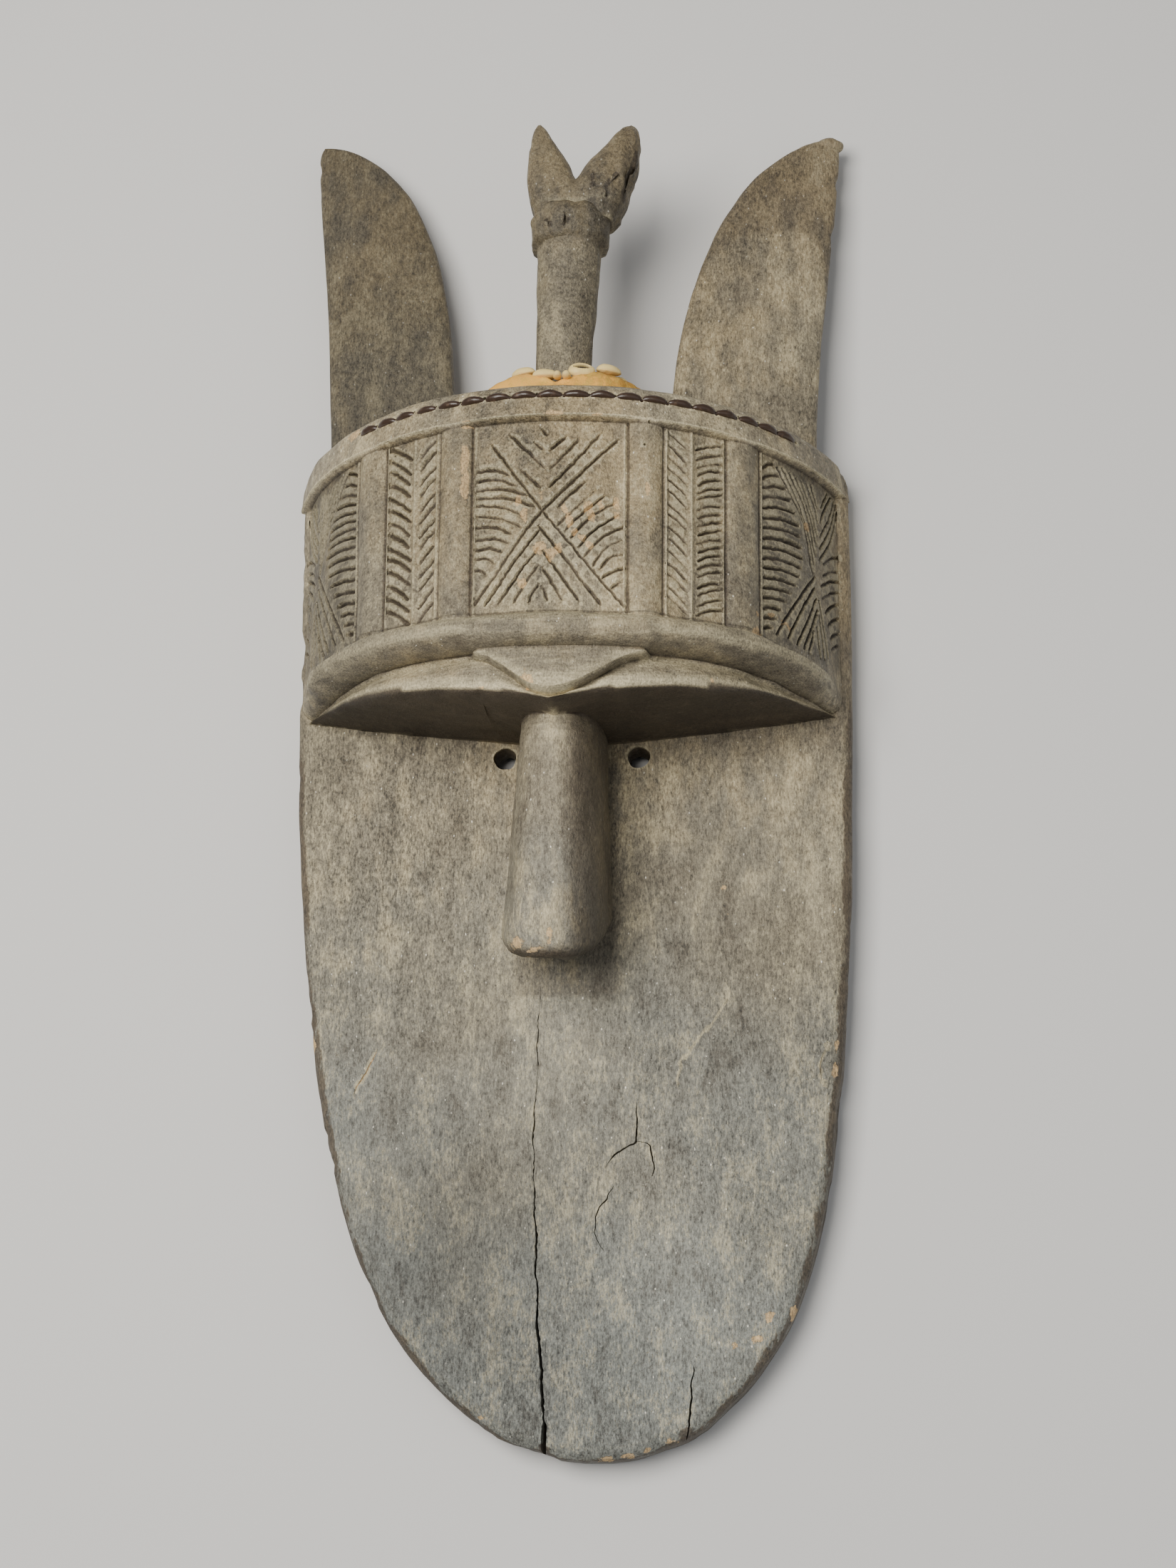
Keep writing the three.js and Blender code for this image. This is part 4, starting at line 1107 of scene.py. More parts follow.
def tan_leather(name, colours):
    """Tan leather, darker to the right and in its creases, rubbed pale on them; painted shade at tie and
    foot.
    """
    p = Paint(name)
    blotch = p.noise(38, 4, 0.6)
    crease = p.noise(240, 5, 0.7, stretch=(1, 0.5, 1))
    pores = p.cells(900)
    dark = (blotch * 1.3 + crease * 1.3 + p.axis(0) * 4.0 - 1.12).step(0.0, 0.34)
    base = p.mixed(rgba(colours.leather), rgba([c * 0.36 for c in colours.leather]), dark * 0.75)
    pale = (crease * 1.3 - 0.6).step(0.0, 0.2)
    base = p.mixed(base, rgba([min(1, c * 1.45) for c in colours.leather]), pale * 0.35)
    # Painted shade at the tie in front and along the pad's foot
    base = p.mixed(base, rgba(colours.brown), p.attribute("shade") * 0.7)
    normal = p.bumped(crease * 0.8 + pores * 0.3, 0.6, 0.0008)
    return p.set(Base_Color=base, Roughness=0.7 - pale * 0.1, Normal=normal, Specular_IOR_Level=0.15)


def cream_shell(name, colours):
    """Glossy cream shell with brown stains and painted shade low down, and a slit painted dark as shade."""
    p = Paint(name)
    blotch = p.noise(160, 4, 0.6)
    fine = p.noise(700, 3, 0.6)
    # Brown stain and painted shade, with the leather's painted reflection, at the shell's foot
    stain_and_shade = (blotch * 1.2 + p.attribute("shade") * 1.1 - 0.72).step(0.0, 0.6)
    base = p.mixed(rgba(colours.shell), rgba(colours.shell_stain_and_shade), stain_and_shade * 0.35)
    base = p.mixed(base, rgba(colours.shell_pale), (blotch * 1.4 - 0.85).step(0.0, 0.3) * 0.6)
    # The slit painted dark as its shade
    base = p.mixed(base, rgba(colours.slit), p.attribute("cut"))
    return p.set(Base_Color=base, Roughness=0.4 + fine * 0.2, Normal=p.bumped(fine + blotch, 0.25, 0.0004),
                 Specular_IOR_Level=0.3)


def dark_thong(name, colours):
    """Dark glossy leather, browner and duller where it is rubbed."""
    p = Paint(name)
    blotch = p.noise(240, 4, 0.6)
    worn = (blotch * 1.3 - 0.7).step(0.0, 0.4)
    base = p.mixed(rgba(colours.thong), rgba(colours.thong_worn), worn * 0.7)
    return p.set(Base_Color=base, Roughness=0.3 + worn * 0.25, Normal=p.bumped(blotch, 0.3, 0.0004))


# Wear, painted shade and painted highlight on the body


# Chips: angle and height, or X and Y from the front, then the reach both ways
CHIPS_ON_DRUM = [
    (-16.3, 623, 1.0, 13), (-16.2, 604, 0.9, 15), (-16.1, 648, 1.2, 3), (-1.0, 595, 0.7, 8),
    (-5.9, 591, 0.8, 4), (-4.6, 580, 1.0, 6), (3.1, 583.6, 0.8, 5), (3.9, 574.8, 0.9, 6),
    (7.4, 585, 1.1, 5), (8.2, 578, 0.9, 5), (4.9, 567, 0.9, 3), (6.4, 562.8, 0.9, 3),
    (7.7, 557.5, 0.9, 3), (9.8, 586.5, 0.7, 4), (12.7, 589, 0.6, 9), (12.9, 581, 0.7, 6),
    (-1.6, 555.3, 1.6, 5), (0.4, 550.7, 1.3, 5), (1.8, 555, 1.0, 4), (-5, 531.8, 1.1, 5),
    (18.5, 599.2, 1.0, 5), (0.8, 650, 2.6, 2.6), (8.9, 649, 1.5, 2), (-44, 668, 2.2, 5),
    (42.0, 528, 1.2, 3), (46.5, 530.5, 1.6, 1.4), (49.8, 529, 1.4, 1.6), (51.8, 525.4, 1.0, 2),
    (57.5, 608, 1.2, 4), (42, 513.5, 1.6, 3), (26.4, 468, 0.8, 3), (15.5, 464.3, 2.2, 2),
    (33.9, 476.0, 0.5, 4), (-14, 465, 2.6, 1.6), (-22, 469, 2.6, 1.6), (63.7, 480, 1.4, 3.5),
    (-3.5, 466, 2.6, 3.4),
]
CHIPS_FROM_FRONT = [
    (-171.5, 266, 2.5, 7), (171.5, 259, 2.5, 5), (171, 243, 2.5, 6), (124.9, 88, 3, 5), (140, 90, 3, 7),
    (102.4, 69.6, 3, 3), (117, 74, 5, 3), (174, 347, 2, 9), (24, 3, 4, 1.6), (36, 4.5, 5, 1.4),
    (47, 8, 3, 1.6), (63, 13, 5, 2), (-58, 28, 3, 2), (44, 345, 1.4, 5), (101, 366, 1.4, 4),
    (103, 345, 1.2, 4),
]
CHIPS_ON_NOSE = [(-28, 311, 6, 5), (-5, 313, 4, 6), (-16, 304, 8, 2.5), (13, 470, 5, 1.2)]
# Patches of the board: how much lighter, then middle and reach
BOARD_TONES = [
    (0.44, (-105, 395, 75, 80)), (-0.12, (95, 380, 60, 70)), (-0.36, (-85, 130, 75, 85)),
    (0.14, (75, 130, 60, 90)),
]
BOARD_FRONT = 36.0
PROUD_OF_BOARD = 60.0
DRUM_SIDES = 74.0


def bell(value, middle, reach):
    """1 at the middle, falling off smoothly over the reach."""
    return np.exp(-((value - middle) / reach) ** 2)


def spots(u, v, marks):
    """The strongest of several soft spots, each given as its middle and its reach both ways."""
    return np.max([bell(u, mark[0], mark[2]) * bell(v, mark[1], mark[3]) for mark in marks], axis=0)


def from_lines(x, y, lines, step):
    """How far each place lies from the nearest of several drawn lines."""
    path = np.vstack([along(corners, step) for corners in lines])
    return np.min(np.hypot(x[:, None] - path[:, 0], y[:, None] - path[:, 1]), axis=1)


def from_side(x, y):
    """How far each place lies inside the board's side edge."""
    side_line = spline(BOARD_SIDE, 200)
    half = np.interp(y, side_line[:, 1], side_line[:, 0])
    return half - np.abs(x - chin_shift(y))


class Places:
    """Where each point of the body lies and which way it faces."""

    def __init__(self, points, normals):
        self.points, self.normals = points, normals
        self.x, self.y, self.z = points.T
        self.angle, self.height, self.proud = drum_place(points)
        self.around = np.abs(self.angle)
        self.low_rim, self.high_rim = rim_levels(self.angle)
        self.lip = lip_level(self.angle)
        self.forward = self.z > PROUD_OF_BOARD
        drum = (self.around < DRUM_SIDES + 2) & (self.proud > -16) & (self.z > BOARD_FRONT)
        self.on_drum = drum & (self.height < BOARD_TOP - 1)
        self.in_frieze = self.on_drum & (self.height > PANEL_LOW - 1) & (self.height < PANEL_HIGH)


def cut_shade_marks(at):
    """Painted shade as dark lines: carved cuts, creases beside ribs and rims, stitch holes, cracks and eye
    holes.
    """
    # Painted shade down in the frieze's cuts, and painted shadow lines along the ribs' edges
    lines = [np.where(at.in_frieze, smooth(-at.proud / 2.3), 0)]
    lines += [at.in_frieze * bell(at.around, edge, 0.36) * 0.72 for rib in RIBS for edge in rib]
    # Painted shadow lines under the upper band and along the rim's upper and lower edges
    ends = smooth((DRUM_SIDES + 4 - at.around) / 8)
    for level, strength in ((PANEL_HIGH - 0.6, 0.62), (at.high_rim + 1.3, 0.6), (at.low_rim - 0.7, 0.66)):
        lines.append(at.on_drum * bell(at.height, level, 1.2) * ends * strength)
    # Painted shade in and round the stitch holes
    gap = np.min(np.abs(at.angle[:, None] - stitch_gaps()[None, :]), axis=1) * MM_PER_DEGREE
    from_hole = np.hypot(gap, at.height - LACING_LEVEL + 0.3)
    lines.append((at.on_drum & (at.proud < BAND_PROUD - 1)) * smooth((4 - from_hole) / 1.5))
    # Painted shade down in the cracks of the board and of the fork
    near = from_lines(at.x, at.y, [crack[0] for crack in CRACKS], 3.0) < 4
    lines.append(near & (at.z < BOARD_THICKNESS - 0.9) & (at.z > 12))
    for corners, _, deep, front in FORK_CRACKS:
        near = from_lines(at.x, at.y, [corners], 1.0) < 1.3
        lines.append((near & (at.z < front + 4) & (at.z > front - deep - 1)) * 0.9)
    # Painted shade inside the eye holes
    for side in (-1, 1):
        from_eye = np.hypot(at.x - side * EYE_SPACING / 2, at.y - EYE_HEIGHT)
        lines.append((from_eye < 8) & (at.z < BOARD_THICKNESS - 0.6))
    return np.maximum.reduce(lines)


def wear_and_cove_shade_marks(at):
    """Rubbed board edge and back, the fork's peeled flank, and painted shade in the cove under the rim."""
    gap = np.minimum(from_side(at.x, at.y), at.y + 2)
    rounded = np.maximum(smooth((13 - gap) / 11) * 0.95, smooth((32.5 - at.z) / 3) * smooth((12 - gap) / 8))
    board = (at.z < BOARD_FRONT - 1) * rounded * smooth((600 - at.y) / 160)
    # Painted shade in the cove under the rim
    cove = smooth(1 - np.abs(at.height - at.low_rim - 3) / 5.5) * 0.5
    cove = (at.forward & (at.height < 515) & (at.height > 455)) * cove
    border = 33 + (at.y - 850) * 0.2 + lattice_noise(at.points, 9, 31, 2) * 6
    flank = (at.forward & (np.abs(at.x - 30) < 34)) * smooth((at.y - 838) / 10) * smooth((at.x - border) / 7)
    return np.maximum.reduce([board, (at.z < 1.0) * 0.45, cove, flank * 0.6])


def chip_marks(at):
    """Fresh wood in chips and scratches."""
    drum = (at.z > 40) & (at.proud > -16) & (at.normals[:, 1] > -0.55)
    scratch = from_lines(at.x, at.y, [scratch[0] for scratch in SCRATCHES], 2.0) < 2.5
    scratch = scratch & (at.z < BOARD_THICKNESS - 0.15) & (at.z > BOARD_THICKNESS - 2)
    return np.maximum.reduce([
        spots(at.angle, at.height, CHIPS_ON_DRUM) * drum, scratch * 0.95,
        spots(at.x, at.y, CHIPS_FROM_FRONT) * smooth((at.z - 20) / 6),
        spots(at.x, at.y, CHIPS_ON_NOSE) * (at.z > 90) * 0.9,
    ])


def painted_shade_marks(at):
    """Painted shade: all sheltered places together, then the brow's underside and the nose's side alone."""
    on_board = (at.z <= BOARD_THICKNESS + 1.5) & (at.z > 20)
    soffit = (at.z > BOARD_THICKNESS + 1) & (at.height < at.lip + 1.5) & (np.abs(at.x) < 190)
    under_brow = soffit * smooth(-at.normals[:, 1] * 1.3)
    under_rim = smooth((at.height - at.low_rim + 5) / 4) * smooth((at.low_rim + 8 - at.height) / 4)
    near_brow = on_board * smooth((at.y - 446) / 26) * mix(0.3, 1, smooth((at.x + 60) / 90))
    from_nose = np.abs(at.x + 3)
    beside_nose = (on_board & (at.y < 480) & (at.y > 295)) * smooth(1 - (from_nose - 30) / 9)
    side = (at.z > BOARD_FRONT) & (from_nose < 42) & (at.y < 478) & (at.y > 300)
    nose_side = side * smooth(at.normals[:, 0] * 1.4 - 0.1)
    hollow = (at.z < 20) & (at.normals[:, 2] < -0.2)
    # Painted shade under brow and rim, in the hollow and on the nose's flank; painted shadow of brow and nose
    shade = np.maximum.reduce([
        under_brow, near_brow * 0.4, beside_nose * 0.4, hollow * 0.2, nose_side * 0.66,
        (at.forward & (at.around < DRUM_SIDES)) * under_rim * 0.18,
    ])
    return shade, under_brow, nose_side


def tone_and_painted_shade(at, under_brow, nose_side):
    """How light the paint is from place to place, about 1, painted shade included."""
    above = smooth((at.y - 668) / 14) * (at.z < 66)
    post = smooth((at.y - 672) / 10) * (at.z >= 66) * (np.abs(at.x) < 60)
    on_rim = at.forward & (at.height > at.low_rim - 1) & (at.height < at.high_rim + 2)
    on_rim = on_rim & (at.around < DRUM_SIDES)
    crest = (at.forward & (at.normals[:, 1] > -0.8) & (at.around < 60)) * bell(at.height, at.lip + 2.6, 2.6)
    lobes = (at.forward & (at.around < 70)) * smooth((at.low_rim - at.height) / 3)
    lighter = [(share * (at.z < BOARD_FRONT), spots(at.x, at.y, [mark])) for share, mark in BOARD_TONES]
    lighter += [
        (0.1, at.forward & (at.y < 470) & (at.y > 290)), (-0.6, above * (at.x < 0)),
        (-0.15, above * (at.x > 0)), (-0.2, post), (-0.27, post * smooth((at.y - 806) / 10)),
        (0.24, crest), (-0.19, on_rim), (-0.12, lobes), (0.12, at.on_drum & (at.height > PANEL_HIGH)),
        # Painted shade on the brow's underside, the nose's right flank and the drum's sides turned from the
        # light
        (-0.3, under_brow), (-0.2, nose_side), (-0.32, at.in_frieze * smooth((at.angle - 30) / 30)),
        (-0.36, at.in_frieze * smooth((-at.angle - 38) / 14)),
        (-0.13, at.in_frieze & (at.around > CENTRE_EDGE)),
    ]
    return 1 + sum(share * where for share, where in lighter)


def ridge_marks(at, mesh):
    """Convexity at each point, 0 to 1, painted as dust and highlight, and rubbed crests of rims, lip and
    collar.
    """
    ends = np.empty(len(mesh.edges) * 2, int)
    mesh.edges.foreach_get("vertices", ends)
    a, b = ends.reshape(-1, 2).T
    step = at.points[b] - at.points[a]
    step /= np.maximum(np.linalg.norm(step, axis=1), 1e-6)[:, None]
    total, count = np.zeros(len(at.x)), np.zeros(len(at.x))
    for here, way in ((a, step), (b, -step)):
        np.add.at(total, here, -(way * at.normals[here]).sum(1))
        np.add.at(count, here, 1)
    convex = np.clip(total / np.maximum(count, 1) * 2.6, 0, 1)
    near = from_lines(at.x, at.y, [crack[0] for crack in CRACKS], 3.0) < 7
    convex = np.where(near & (at.z < BOARD_FRONT), 0, convex)
    crests = [
        (at.lip + 2.2, 2.0, 0.9), (at.high_rim - 1.6, 1.8, 0.55), (at.low_rim - 3.6, 1.6, 0.5),
        (PANEL_HIGH + 1.5, 1.4, 0.55), (LACING_LEVEL + 7, 2.0, 0.4),
    ]
    front = at.forward & (at.proud > -20) & (at.around < DRUM_SIDES) & (at.normals[:, 1] > -0.8)
    collar = (at.z > 96) & (np.abs(at.x - 5) < 30)
    rubbed = [front * strength * bell(at.height, level, wide) for level, wide, strength in crests]
    return np.maximum.reduce([convex, collar * bell(at.y, 841.5, 1.6) * 0.6, *rubbed])


def marks_and_painted_light(at, mesh):
    """Every mark on the body, wear, painted shade and painted highlight, by the name that its paint reads."""
    shade, under_brow, nose_side = painted_shade_marks(at)
    return {
        "cut": cut_shade_marks(at), "edge": wear_and_cove_shade_marks(at), "chip": chip_marks(at), "shade": shade,
        "tone": tone_and_painted_shade(at, under_brow, nose_side), "ridge": ridge_marks(at, mesh),
    }


def wander(at, amount):
    """Hand-cut unevenness: long waves everywhere, knocks along the board's edge, facets and lumps."""
    x, y, z, points = at.x, at.y, at.z, at.points
    stretched = points * [1.0, 0.55, 1.0]
    waves, facets = lattice_noise(stretched, 34, 1, 2), lattice_noise(stretched, 9, 2, 2)
    move = (waves * 0.75 + facets * 0.3) * amount
    edge = smooth((10 - from_side(x, y)) / 8) * (z < BOARD_FRONT) * (z > 2)
    chin = smooth((42 - y) / 30)
    move += edge * (1 - chin) * np.minimum(lattice_noise(points, 19, 3, 3) + 0.22, 0) * 3.4
    move += chin * (z > 2) * np.minimum(lattice_noise(points * [1, 1, 0.3], 16, 4, 3) + 0.1, 0.1) * 2.2
    collar = smooth((y - 811) / 4) * smooth((846 - y) / 4) * (np.abs(x - 5) < 34) * at.forward
    move += collar * (lattice_noise(points, 10, 6, 3) * 2.0 - np.abs(lattice_noise(points, 14, 26)) * 1.6)
    prong = smooth((y - 846) / 8) * (np.abs(x - 20) < 44) * at.forward
    peeled = prong * smooth((x - 30 - (y - 850) * 0.16) / 5)
    move -= prong * np.abs(lattice_noise(points * [1, 0.5, 1], 13, 27, 2)) * 1.1
    move -= peeled * (0.5 + lattice_noise(points * [1.4, 0.35, 1.4], 6, 28, 2) * 1.3)
    shaft = smooth((y - 700) / 10) * (np.abs(x - 4) < 30) * at.forward * (y < 812)
    move += shaft * lattice_noise(points * [1, 0.4, 1], 15, 16, 3) * 1.4
    lobes = at.forward * smooth((y - 440) / 6) * smooth((505 - y) / 8)
    move += lobes * lattice_noise(points * [0.3, 1.6, 1], 13, 17, 3)
    nose = (z > 40) * (np.abs(x + 4) < 44) * smooth((488 - y) / 10) * (y > 290)
    move -= nose * (np.abs(lattice_noise(points * [1, 0.34, 1], 15, 41, 2)) * 1.7 - 0.4)
    nose_tip = smooth((x + 44) / 8) * smooth((14 - x) / 20) * smooth((322 - y) / 14)
    move -= nose_tip * smooth((z - 96) / 14) * 2.6
    resting = smooth((z - 0.5) / 4)
    return points + at.normals * (move * resting)[:, None]


# Pieces


class MASK_OT_body(bpy.types.Operator):
    """Carve the wooden body: board, drum, nose, horns, post, lines, cracks and hollow back"""
    bl_idname = "mask.body"
    bl_label = "Wooden body"

    def execute(self, context):
        sizes, colours = context.scene.mask_sizes, context.scene.mask_colours
        rng = np.random.default_rng(3)
        body = form_object("carved_body", board_form())
        added = [drum_form(), nose_form(), *(horn_form(form) for form in HORNS), knob_form(), post_form(),
                 *(fork_form(rows) for rows in FORK)]
        tools = [form_object(f"joined_{i}", form) for i, form in enumerate(added)]
        combine(body, tools, "UNION")
        families = {}
        for family, (wide, deep), corners in frieze_lines():
            cut = groove_form(corners, rng, wide * sizes.groove_width, deep * sizes.groove_depth)
            families.setdefault(family, []).append(cut)
        cuts = [joined_forms(forms) for forms in families.values()]
        cuts += [crack_form(seed, *crack) for seed, crack in enumerate(CRACKS + FORK_CRACKS + SCRATCHES, 20)]
        holes = [wormhole(on_drum(angle, height, rib_relief(angle)), angle)
                 for angle, height in WORMHOLES_ON_DRUM]
        for angle in stitch_gaps():
            aside, level = rng.uniform(-0.25, 0.25), LACING_LEVEL - 0.6 + rng.uniform(-1.4, 1.8)
            place = on_drum(angle + aside, level, BAND_PROUD)
            holes.append(wormhole(place, angle, rng.uniform(0.9, 1.5)))
        cuts += [joined_forms(holes), hollow_form(), pocket_form(), eye_form(-1), eye_form(1)]
        cutters = [form_object(f"cut_{i}", form) for i, form in enumerate(cuts)]
        combine(body, cutters, "DIFFERENCE")
        body.modifiers.new("triangles", "TRIANGULATE")
        baked(body, "carved_body")
        for tool in [*tools, *cutters]:
            bpy.data.objects.remove(tool)
        mesh = body.data
        at = Places(points_of(mesh), normals_of(mesh))
        for name, values in marks_and_painted_light(at, mesh).items():
            attribute(mesh, name, values)
        put_points(mesh, wander(at, sizes.unevenness * 1000))
        settle(body, 45)
        mesh.materials.clear()
        mesh.materials.append(painted_wood("worn_painted_wood", colours))
        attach(body, "root")
        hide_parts("mask_body")
        return {"FINISHED"}


def thong_tree(material):
    """Node tree: the rim's line becomes a thong that swells and lifts at each stitch."""
    tree = bpy.data.node_groups.new("laced_thong", "GeometryNodeTree")
    inputs = {"Line": "Geometry", "Stitches": "Float", "Half width": "Float", "Axis": "Vector"}
    names = {name: tree.interface.new_socket(name, in_out="INPUT", socket_type="NodeSocket" + kind).identifier
             for name, kind in inputs.items()}
    tree.interface.new_socket("Thong", in_out="OUTPUT", socket_type="NodeSocketGeometry")
    t = Nodes(tree)
    source = tree.nodes.new("NodeGroupInput")
    line, stitches, half_width, axis = (Value(t, source.outputs[name]) for name in inputs)
    line = t.node("GeometryNodeResampleCurve", {}, Curve=line, Count=THONG_POINTS)
    phase = t.node("GeometryNodeSplineParameter", {}, out="Factor") * stitches * math.pi
    size = t.maths("ABSOLUTE", t.maths("SINE", phase)) ** 0.5
    radius = size.ranged(0.3, 1.0) * half_width
    away = t.vector("SUBTRACT", t.node("GeometryNodeInputPosition", {}), axis)
    out = t.vector("NORMALIZE", t.vector("MULTIPLY", away, (1.0, 0.0, 1.0)))
    lifted = t.vector("SCALE", out, Scale=size.ranged(*THONG_RISE))
    arched = t.node("ShaderNodeCombineXYZ", {}, Y=size.ranged(*THONG_ARCH))
    line = t.node("GeometryNodeSetPosition", {}, Geometry=line, Offset=t.vector("ADD", lifted, arched))
    line = t.node("GeometryNodeSetCurveRadius", {}, Curve=line, Radius=radius)
    ring = t.node("GeometryNodeCurvePrimitiveCircle", {}, Resolution=12, Radius=1.0)
    tube = t.node("GeometryNodeCurveToMesh", {}, Curve=line, Profile_Curve=ring, Scale=radius, Fill_Caps=True)
    real = t.node("GeometryNodeRealizeInstances", {}, Geometry=tube)
    done = t.node("GeometryNodeSetMaterial", {}, Geometry=real, Material=material)
    tree.links.new(done.socket, tree.nodes.new("NodeGroupOutput").inputs["Thong"])
    return tree, names


class MASK_OT_lacing(bpy.types.Operator):
    """Lay the dark thong in the channel of the upper rim, one swelling for each stitch"""
    bl_idname = "mask.lacing"
    bl_label = "Rim lacing"

    def execute(self, context):
        sizes, colours = context.scene.mask_sizes, context.scene.mask_colours
        material = dark_thong("dark_thong", colours)
        angles = np.linspace(LACING_SPAN[0] + 0.4, LACING_SPAN[1] - 0.4, 160)
        line = (on_drum(angles, LACING_LEVEL - 0.6, BAND_PROUD) + OFFSET) / 1000
        curve = bpy.data.curves.new("rim_line", "CURVE")
        curve.dimensions = "3D"
        path = curve.splines.new("POLY")
        path.points.add(len(line) - 1)
        path.points.foreach_set("co", np.c_[line, np.ones(len(line))].ravel())
        made = bpy.data.objects.new("rim_line", curve)
        context.scene.collection.objects.link(made)
        step = made.modifiers.new("thong", "NODES")
        step.node_group, names = thong_tree(material)
        step[names["Stitches"]] = float(sizes.stitches)
        step[names["Half width"]] = sizes.thong_wide
        centre = (np.array([DRUM_MIDDLE, LACING_LEVEL, drum_circle(LACING_LEVEL)[1]]) + OFFSET) / 1000
        step[names["Axis"]] = centre.tolist()
        context.view_layer.update()
        mesh = bpy.data.meshes.new_from_object(made.evaluated_get(context.evaluated_depsgraph_get()))
        bpy.data.objects.remove(made)
        thong = bpy.data.objects.new("laced_thong", mesh)
        mesh.name = "laced_thong"
        context.scene.collection.objects.link(thong)
        points = points_of(mesh) * 1000
        uneven = (lattice_noise(points, 5, 8, 2) * 0.35)[:, None]
        put_points(mesh, (points + normals_of(mesh) * uneven) / 1000)
        mesh.polygons.foreach_set("use_smooth", [True] * len(mesh.polygons))
        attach(thong, "root")
        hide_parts("rim_lacing")
        return {"FINISHED"}


def pad_top(turn):
    """Height of the pad round the post, with a dip at the tie in front."""
    return PAD_HEIGHT - PAD_DIP * np.abs(np.cos(turn / 2)) ** 26


def on_pad(turn, radius, height):
    """A point of the pad: its turn round the post, its distance from it and its height up the post."""
    foot = post_point(0)
    x = foot[0] + PAD_SHIFT + radius * np.sin(turn) + POST_LEAN[0] * height
    z = foot[2] + radius * np.cos(turn) + POST_LEAN[1] * height
    return np.stack([x, BOARD_TOP + LEVEL_SLOPE * x + height, z], -1)


class MASK_OT_pad(bpy.types.Operator):
    """Make the stuffed leather pad round the foot of the post"""
    bl_idname = "mask.pad"
    bl_label = "Leather pad"

    def execute(self, context):
        rings = []
        for turn in np.linspace(0, 2 * math.pi, 144, endpoint=False):
            reach = 1 / math.hypot(math.sin(turn) / PAD_OUTER[0], math.cos(turn) / PAD_OUTER[1])
            top = pad_top(turn)
            section = spline([
                (PAD_INNER, 0.5), (reach - 6, 0.4), (reach - 1.5, top * 0.12), (reach, top * 0.34),
                (reach - 1, top * 0.55), (reach - 4.5, top * 0.79), (SHELL_RING + 4.5, top * 0.985),
                (SHELL_RING - 1, top), (SHELL_RING - 9, top - 0.4), (PAD_INNER + 1.5, top - 3.6),
                (PAD_INNER, top * 0.5),
            ], 44)
            rings.append(on_pad(turn, section[:, 0], section[:, 1]))
        pad = form_object("leather_dome", loft(rings, joined=True))
        mesh = pad.data
        points, normals = points_of(mesh), normals_of(mesh)
        foot = post_point(0)
        turn = np.arctan2(points[:, 0] - foot[0] - PAD_SHIFT, points[:, 2] - foot[2])
        rise = points[:, 1] - BOARD_TOP
        from_post = np.hypot(points[:, 0] - foot[0], points[:, 2] - foot[2])
        free = smooth((rise - 2) / 6) * smooth((from_post - 24) / 6)
        folds = np.sin(turn * 23 + lattice_noise(points, 16, 12) * 3) * 0.35
        folds = folds + lattice_noise(points, 7, 13, 2) * 0.6 - bell(turn, 0, 0.07) * 1.2
        put_points(mesh, points + normals * (folds * free)[:, None])
        # Painted shade at the tie in front and along the pad's foot on the drum
        attribute(mesh, "shade", bell(turn, 0, 0.05) * 0.45 + smooth((6 - rise) / 6) * 0.5)
        settle(pad, 60)
        mesh.materials.append(tan_leather("tan_leather", context.scene.mask_colours))
        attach(pad, "root")
        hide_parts("leather_pad")
        return {"FINISHED"}


SLIT_REACH = 0.62


def cowrie_form(length, width, height, slit):
    """A cowrie lying along X: a domed egg with a rolled base, and a toothed slit if it shows."""
    rings, cut = [], []
    turns = np.linspace(0, 2 * math.pi, 56 if slit else 40, endpoint=False)
    for t in np.linspace(0, 1, 44 if slit else 34):
        place = -math.cos(math.pi * mix(0.02, 0.98, t))
        swell = (1 - abs(place) ** 2.3) ** 0.55 * (1 - 0.14 * place)
        up = np.sin(turns)
        across = np.sign(np.cos(turns)) * np.abs(np.cos(turns)) ** 0.9
        lift = np.where(up > 0, up, up * 0.55) * height * 0.62 * swell
        rolled = 1 + 0.07 * np.exp(-((up + 0.2) / 0.25) ** 2)
        y = across * width / 2 * swell * rolled
        open_here = np.zeros(len(turns))
        if slit:
            gap = np.abs(y) / (width * 0.17 * math.sqrt(max(0.02, 1 - (place / SLIT_REACH) ** 2)))
            open_here = np.where(up > 0, np.clip(1.5 - gap, 0, 1), 0) * (abs(place) < SLIT_REACH)
            teeth = 0.5 + 0.5 * math.cos(place * 34)
            near = np.where(up > 0, np.exp(-(gap / 2.4) ** 2), 0)
            lift = lift - open_here * height * 0.28 - near * teeth * 0.25
        rings.append(np.stack([np.full(len(turns), place * length / 2), y, lift + height * 0.3], 1))
        cut.append(open_here)
    points, faces = loft(rings)
    return points, faces, np.concatenate(cut)


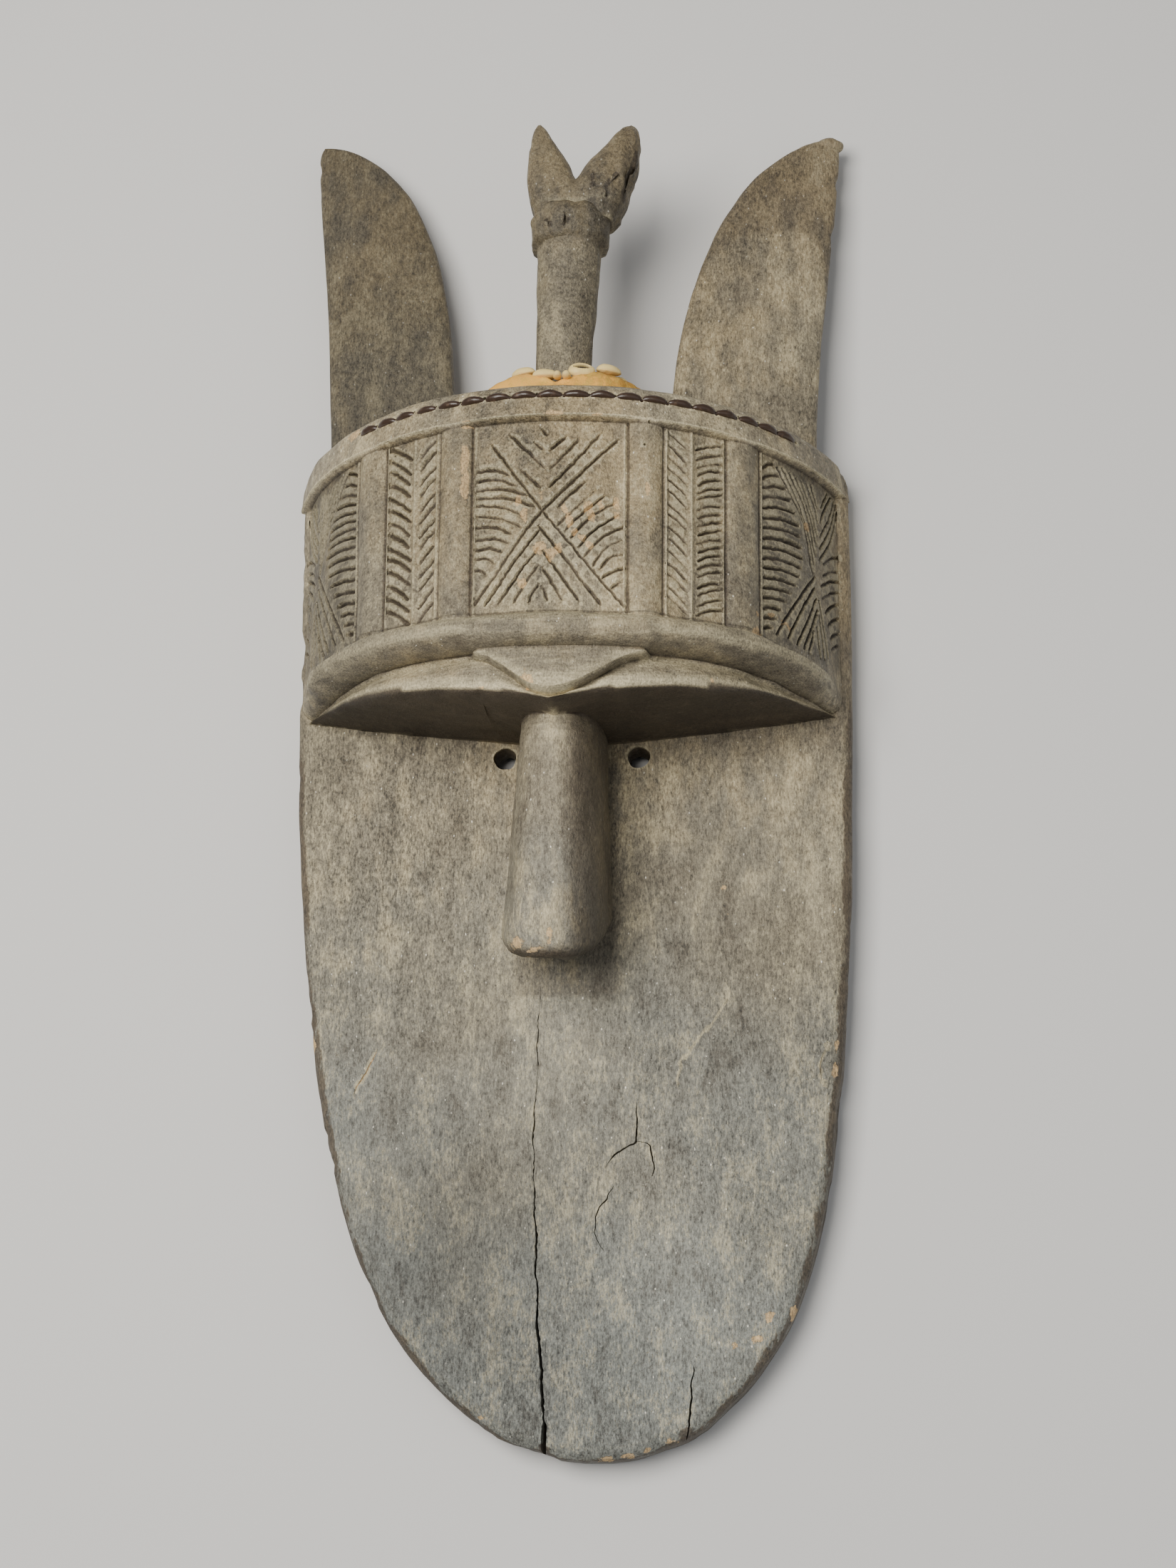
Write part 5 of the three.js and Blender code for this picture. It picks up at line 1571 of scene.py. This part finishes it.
class MASK_OT_cowries(bpy.types.Operator):
    """Set the cowrie shells on the pad, each in its own place"""
    bl_idname = "mask.cowries"
    bl_label = "Cowrie shells"

    def execute(self, context):
        material = cream_shell("cream_shell", context.scene.mask_colours)
        rng = np.random.default_rng(9)
        foot = post_point(0)
        for name in sorted(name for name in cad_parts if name.startswith("cowrie")):
            centre = np.sum(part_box(name), axis=0) * 500 - OFFSET
            turn = math.atan2(centre[0] - foot[0] - PAD_SHIFT - 3, centre[2] - foot[2])
            in_front, beside = abs(turn) < 0.8, abs(turn) < 1.2
            small = "small" in name
            slit = not small and in_front and turn > 0
            if small:
                size, facing, tilt, sink = SMALL_SHELL, turn * 0.3 + math.pi / 2, 0.0, 0.0
            else:
                length = context.scene.mask_sizes.shell_length * 1000 * rng.uniform(1.03, 1.1)
                size = (length, SHELL_WIDTH, SHELL_HEIGHT)
                facing = turn * 0.62 if beside else turn
                tilt = math.atan2(pad_top(turn + 0.24) - pad_top(turn - 0.24), 17) * 0.2
                sink = -1.2 if in_front else 0.6 if beside else 2.0
            points, faces, cut = cowrie_form(*size, slit)
            points = points[:, [0, 2, 1]] * [1, 1, -1]
            roll = Matrix.Rotation(1.05 if slit else 0 if small else rng.uniform(0.1, 0.35), 3, "X")
            turned = Matrix.Rotation(facing, 3, "Y") @ Matrix.Rotation(tilt, 3, "Z") @ roll
            points = points @ np.array(turned).T
            points = points - (points.max(0) + points.min(0)) / 2 + centre - [0, sink, 0]
            shell = form_object(name + "_shell", (points, faces))
            lumps = lattice_noise(points, 4, 14, 2) * 0.22
            put_points(shell.data, points + normals_of(shell.data) * lumps[:, None])
            # The slit, painted dark as shade
            attribute(shell.data, "cut", cut)
            # Painted shade where the shell sits on the pad
            attribute(shell.data, "shade", smooth((points[:, 1].min() + 3.2 - points[:, 1]) / 3))
            settle(shell, 70)
            shell.data.materials.append(material)
            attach(shell, "root")
            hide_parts(name)
        return {"FINISHED"}


FLOOR_HALF = 6.0
LIGHT_AIM = Vector((0, 0, 0.05))
CAMERA_AIM = np.array([11.0, 441.0, BOARD_THICKNESS])


class MASK_OT_stage(bpy.types.Operator):
    """Lay the pale floor and place the lights and the camera"""
    bl_idname = "mask.stage"
    bl_label = "Floor, lights and camera"

    def execute(self, context):
        stage = context.scene.mask_stage
        mesh = bpy.data.meshes.new("floor")
        corners = [(x * FLOOR_HALF, y * FLOOR_HALF, 0) for x, y in ((-1, -1), (1, -1), (1, 1), (-1, 1))]
        mesh.from_pydata(corners, [], [(0, 1, 2, 3)])
        floor = bpy.data.objects.new("floor", mesh)
        context.scene.collection.objects.link(floor)
        mesh.materials.append(Paint("pale_floor").set(Base_Color=rgba(stage.floor_colour), Roughness=0.9))
        for name, power, size, place, glow in (
            ("key_light", stage.key_power, 1.25, (-0.66, 0.02, 2.15), (1.0, 0.97, 0.92)),
            ("fill_light", stage.fill_power, 2.2, (1.4, -0.6, 1.6), (0.94, 0.97, 1.0)),
        ):
            light = bpy.data.lights.new(name, "AREA")
            light.energy, light.size, light.color = power, size, glow
            lamp = bpy.data.objects.new(name, light)
            lamp.location = place
            lamp.rotation_euler = (LIGHT_AIM - Vector(place)).to_track_quat("-Z", "Y").to_euler()
            context.scene.collection.objects.link(lamp)
        world = bpy.data.worlds.new("even_light")
        world.use_nodes = True
        sky = world.node_tree.nodes["Background"]
        sky.inputs["Color"].default_value = (0.95, 0.97, 1.0, 1)
        sky.inputs["Strength"].default_value = stage.ambient
        context.scene.world = world
        tilt, turn = stage.tilt, stage.turn
        right = Vector((math.cos(turn), 0, -math.sin(turn)))
        up = Vector((math.sin(turn) * math.sin(tilt), math.cos(tilt), math.cos(turn) * math.sin(tilt)))
        back = Vector((math.sin(turn) * math.cos(tilt), -math.sin(tilt), math.cos(turn) * math.cos(tilt)))
        data = bpy.data.cameras.new("camera")
        data.lens, data.sensor_width, data.clip_end = stage.lens, 36, 20
        camera = bpy.data.objects.new("camera", data)
        place = Matrix((right, up, back)).transposed().to_4x4()
        place.translation = Vector((CAMERA_AIM + OFFSET) / 1000) + back * stage.distance
        camera.matrix_world = place
        context.scene.collection.objects.link(camera)
        context.scene.camera = camera
        return {"FINISHED"}


class MASK_PT_panel(bpy.types.Panel):
    """Sizes, colours and steps of the mask"""
    bl_label = "Carved mask"
    bl_space_type = "VIEW_3D"
    bl_region_type = "UI"
    bl_category = "Mask"

    def draw(self, context):
        scene = context.scene
        for group in (scene.mask_sizes, scene.mask_colours, scene.mask_stage):
            box = self.layout.box()
            for name in group.__annotations__:
                box.prop(group, name)
        for operator in OPERATORS:
            self.layout.operator(operator.bl_idname)


OPERATORS = (MASK_OT_stage, MASK_OT_body, MASK_OT_lacing, MASK_OT_pad, MASK_OT_cowries)
GROUPS = {"mask_sizes": MaskSizes, "mask_colours": MaskColours, "mask_stage": MaskStage}


def register():
    for name, group in GROUPS.items():
        bpy.utils.register_class(group)
        setattr(bpy.types.Scene, name, bpy.props.PointerProperty(type=group))
    for kind in (*OPERATORS, MASK_PT_panel):
        bpy.utils.register_class(kind)


def unregister():
    for kind in (MASK_PT_panel, *reversed(OPERATORS)):
        bpy.utils.unregister_class(kind)
    for name, group in GROUPS.items():
        delattr(bpy.types.Scene, name)
        bpy.utils.unregister_class(group)


def main():
    register()
    bpy.ops.mask.stage()
    bpy.ops.mask.body()
    bpy.ops.mask.lacing()
    bpy.ops.mask.pad()
    bpy.ops.mask.cowries()


if __name__ == "__main__":
    main()
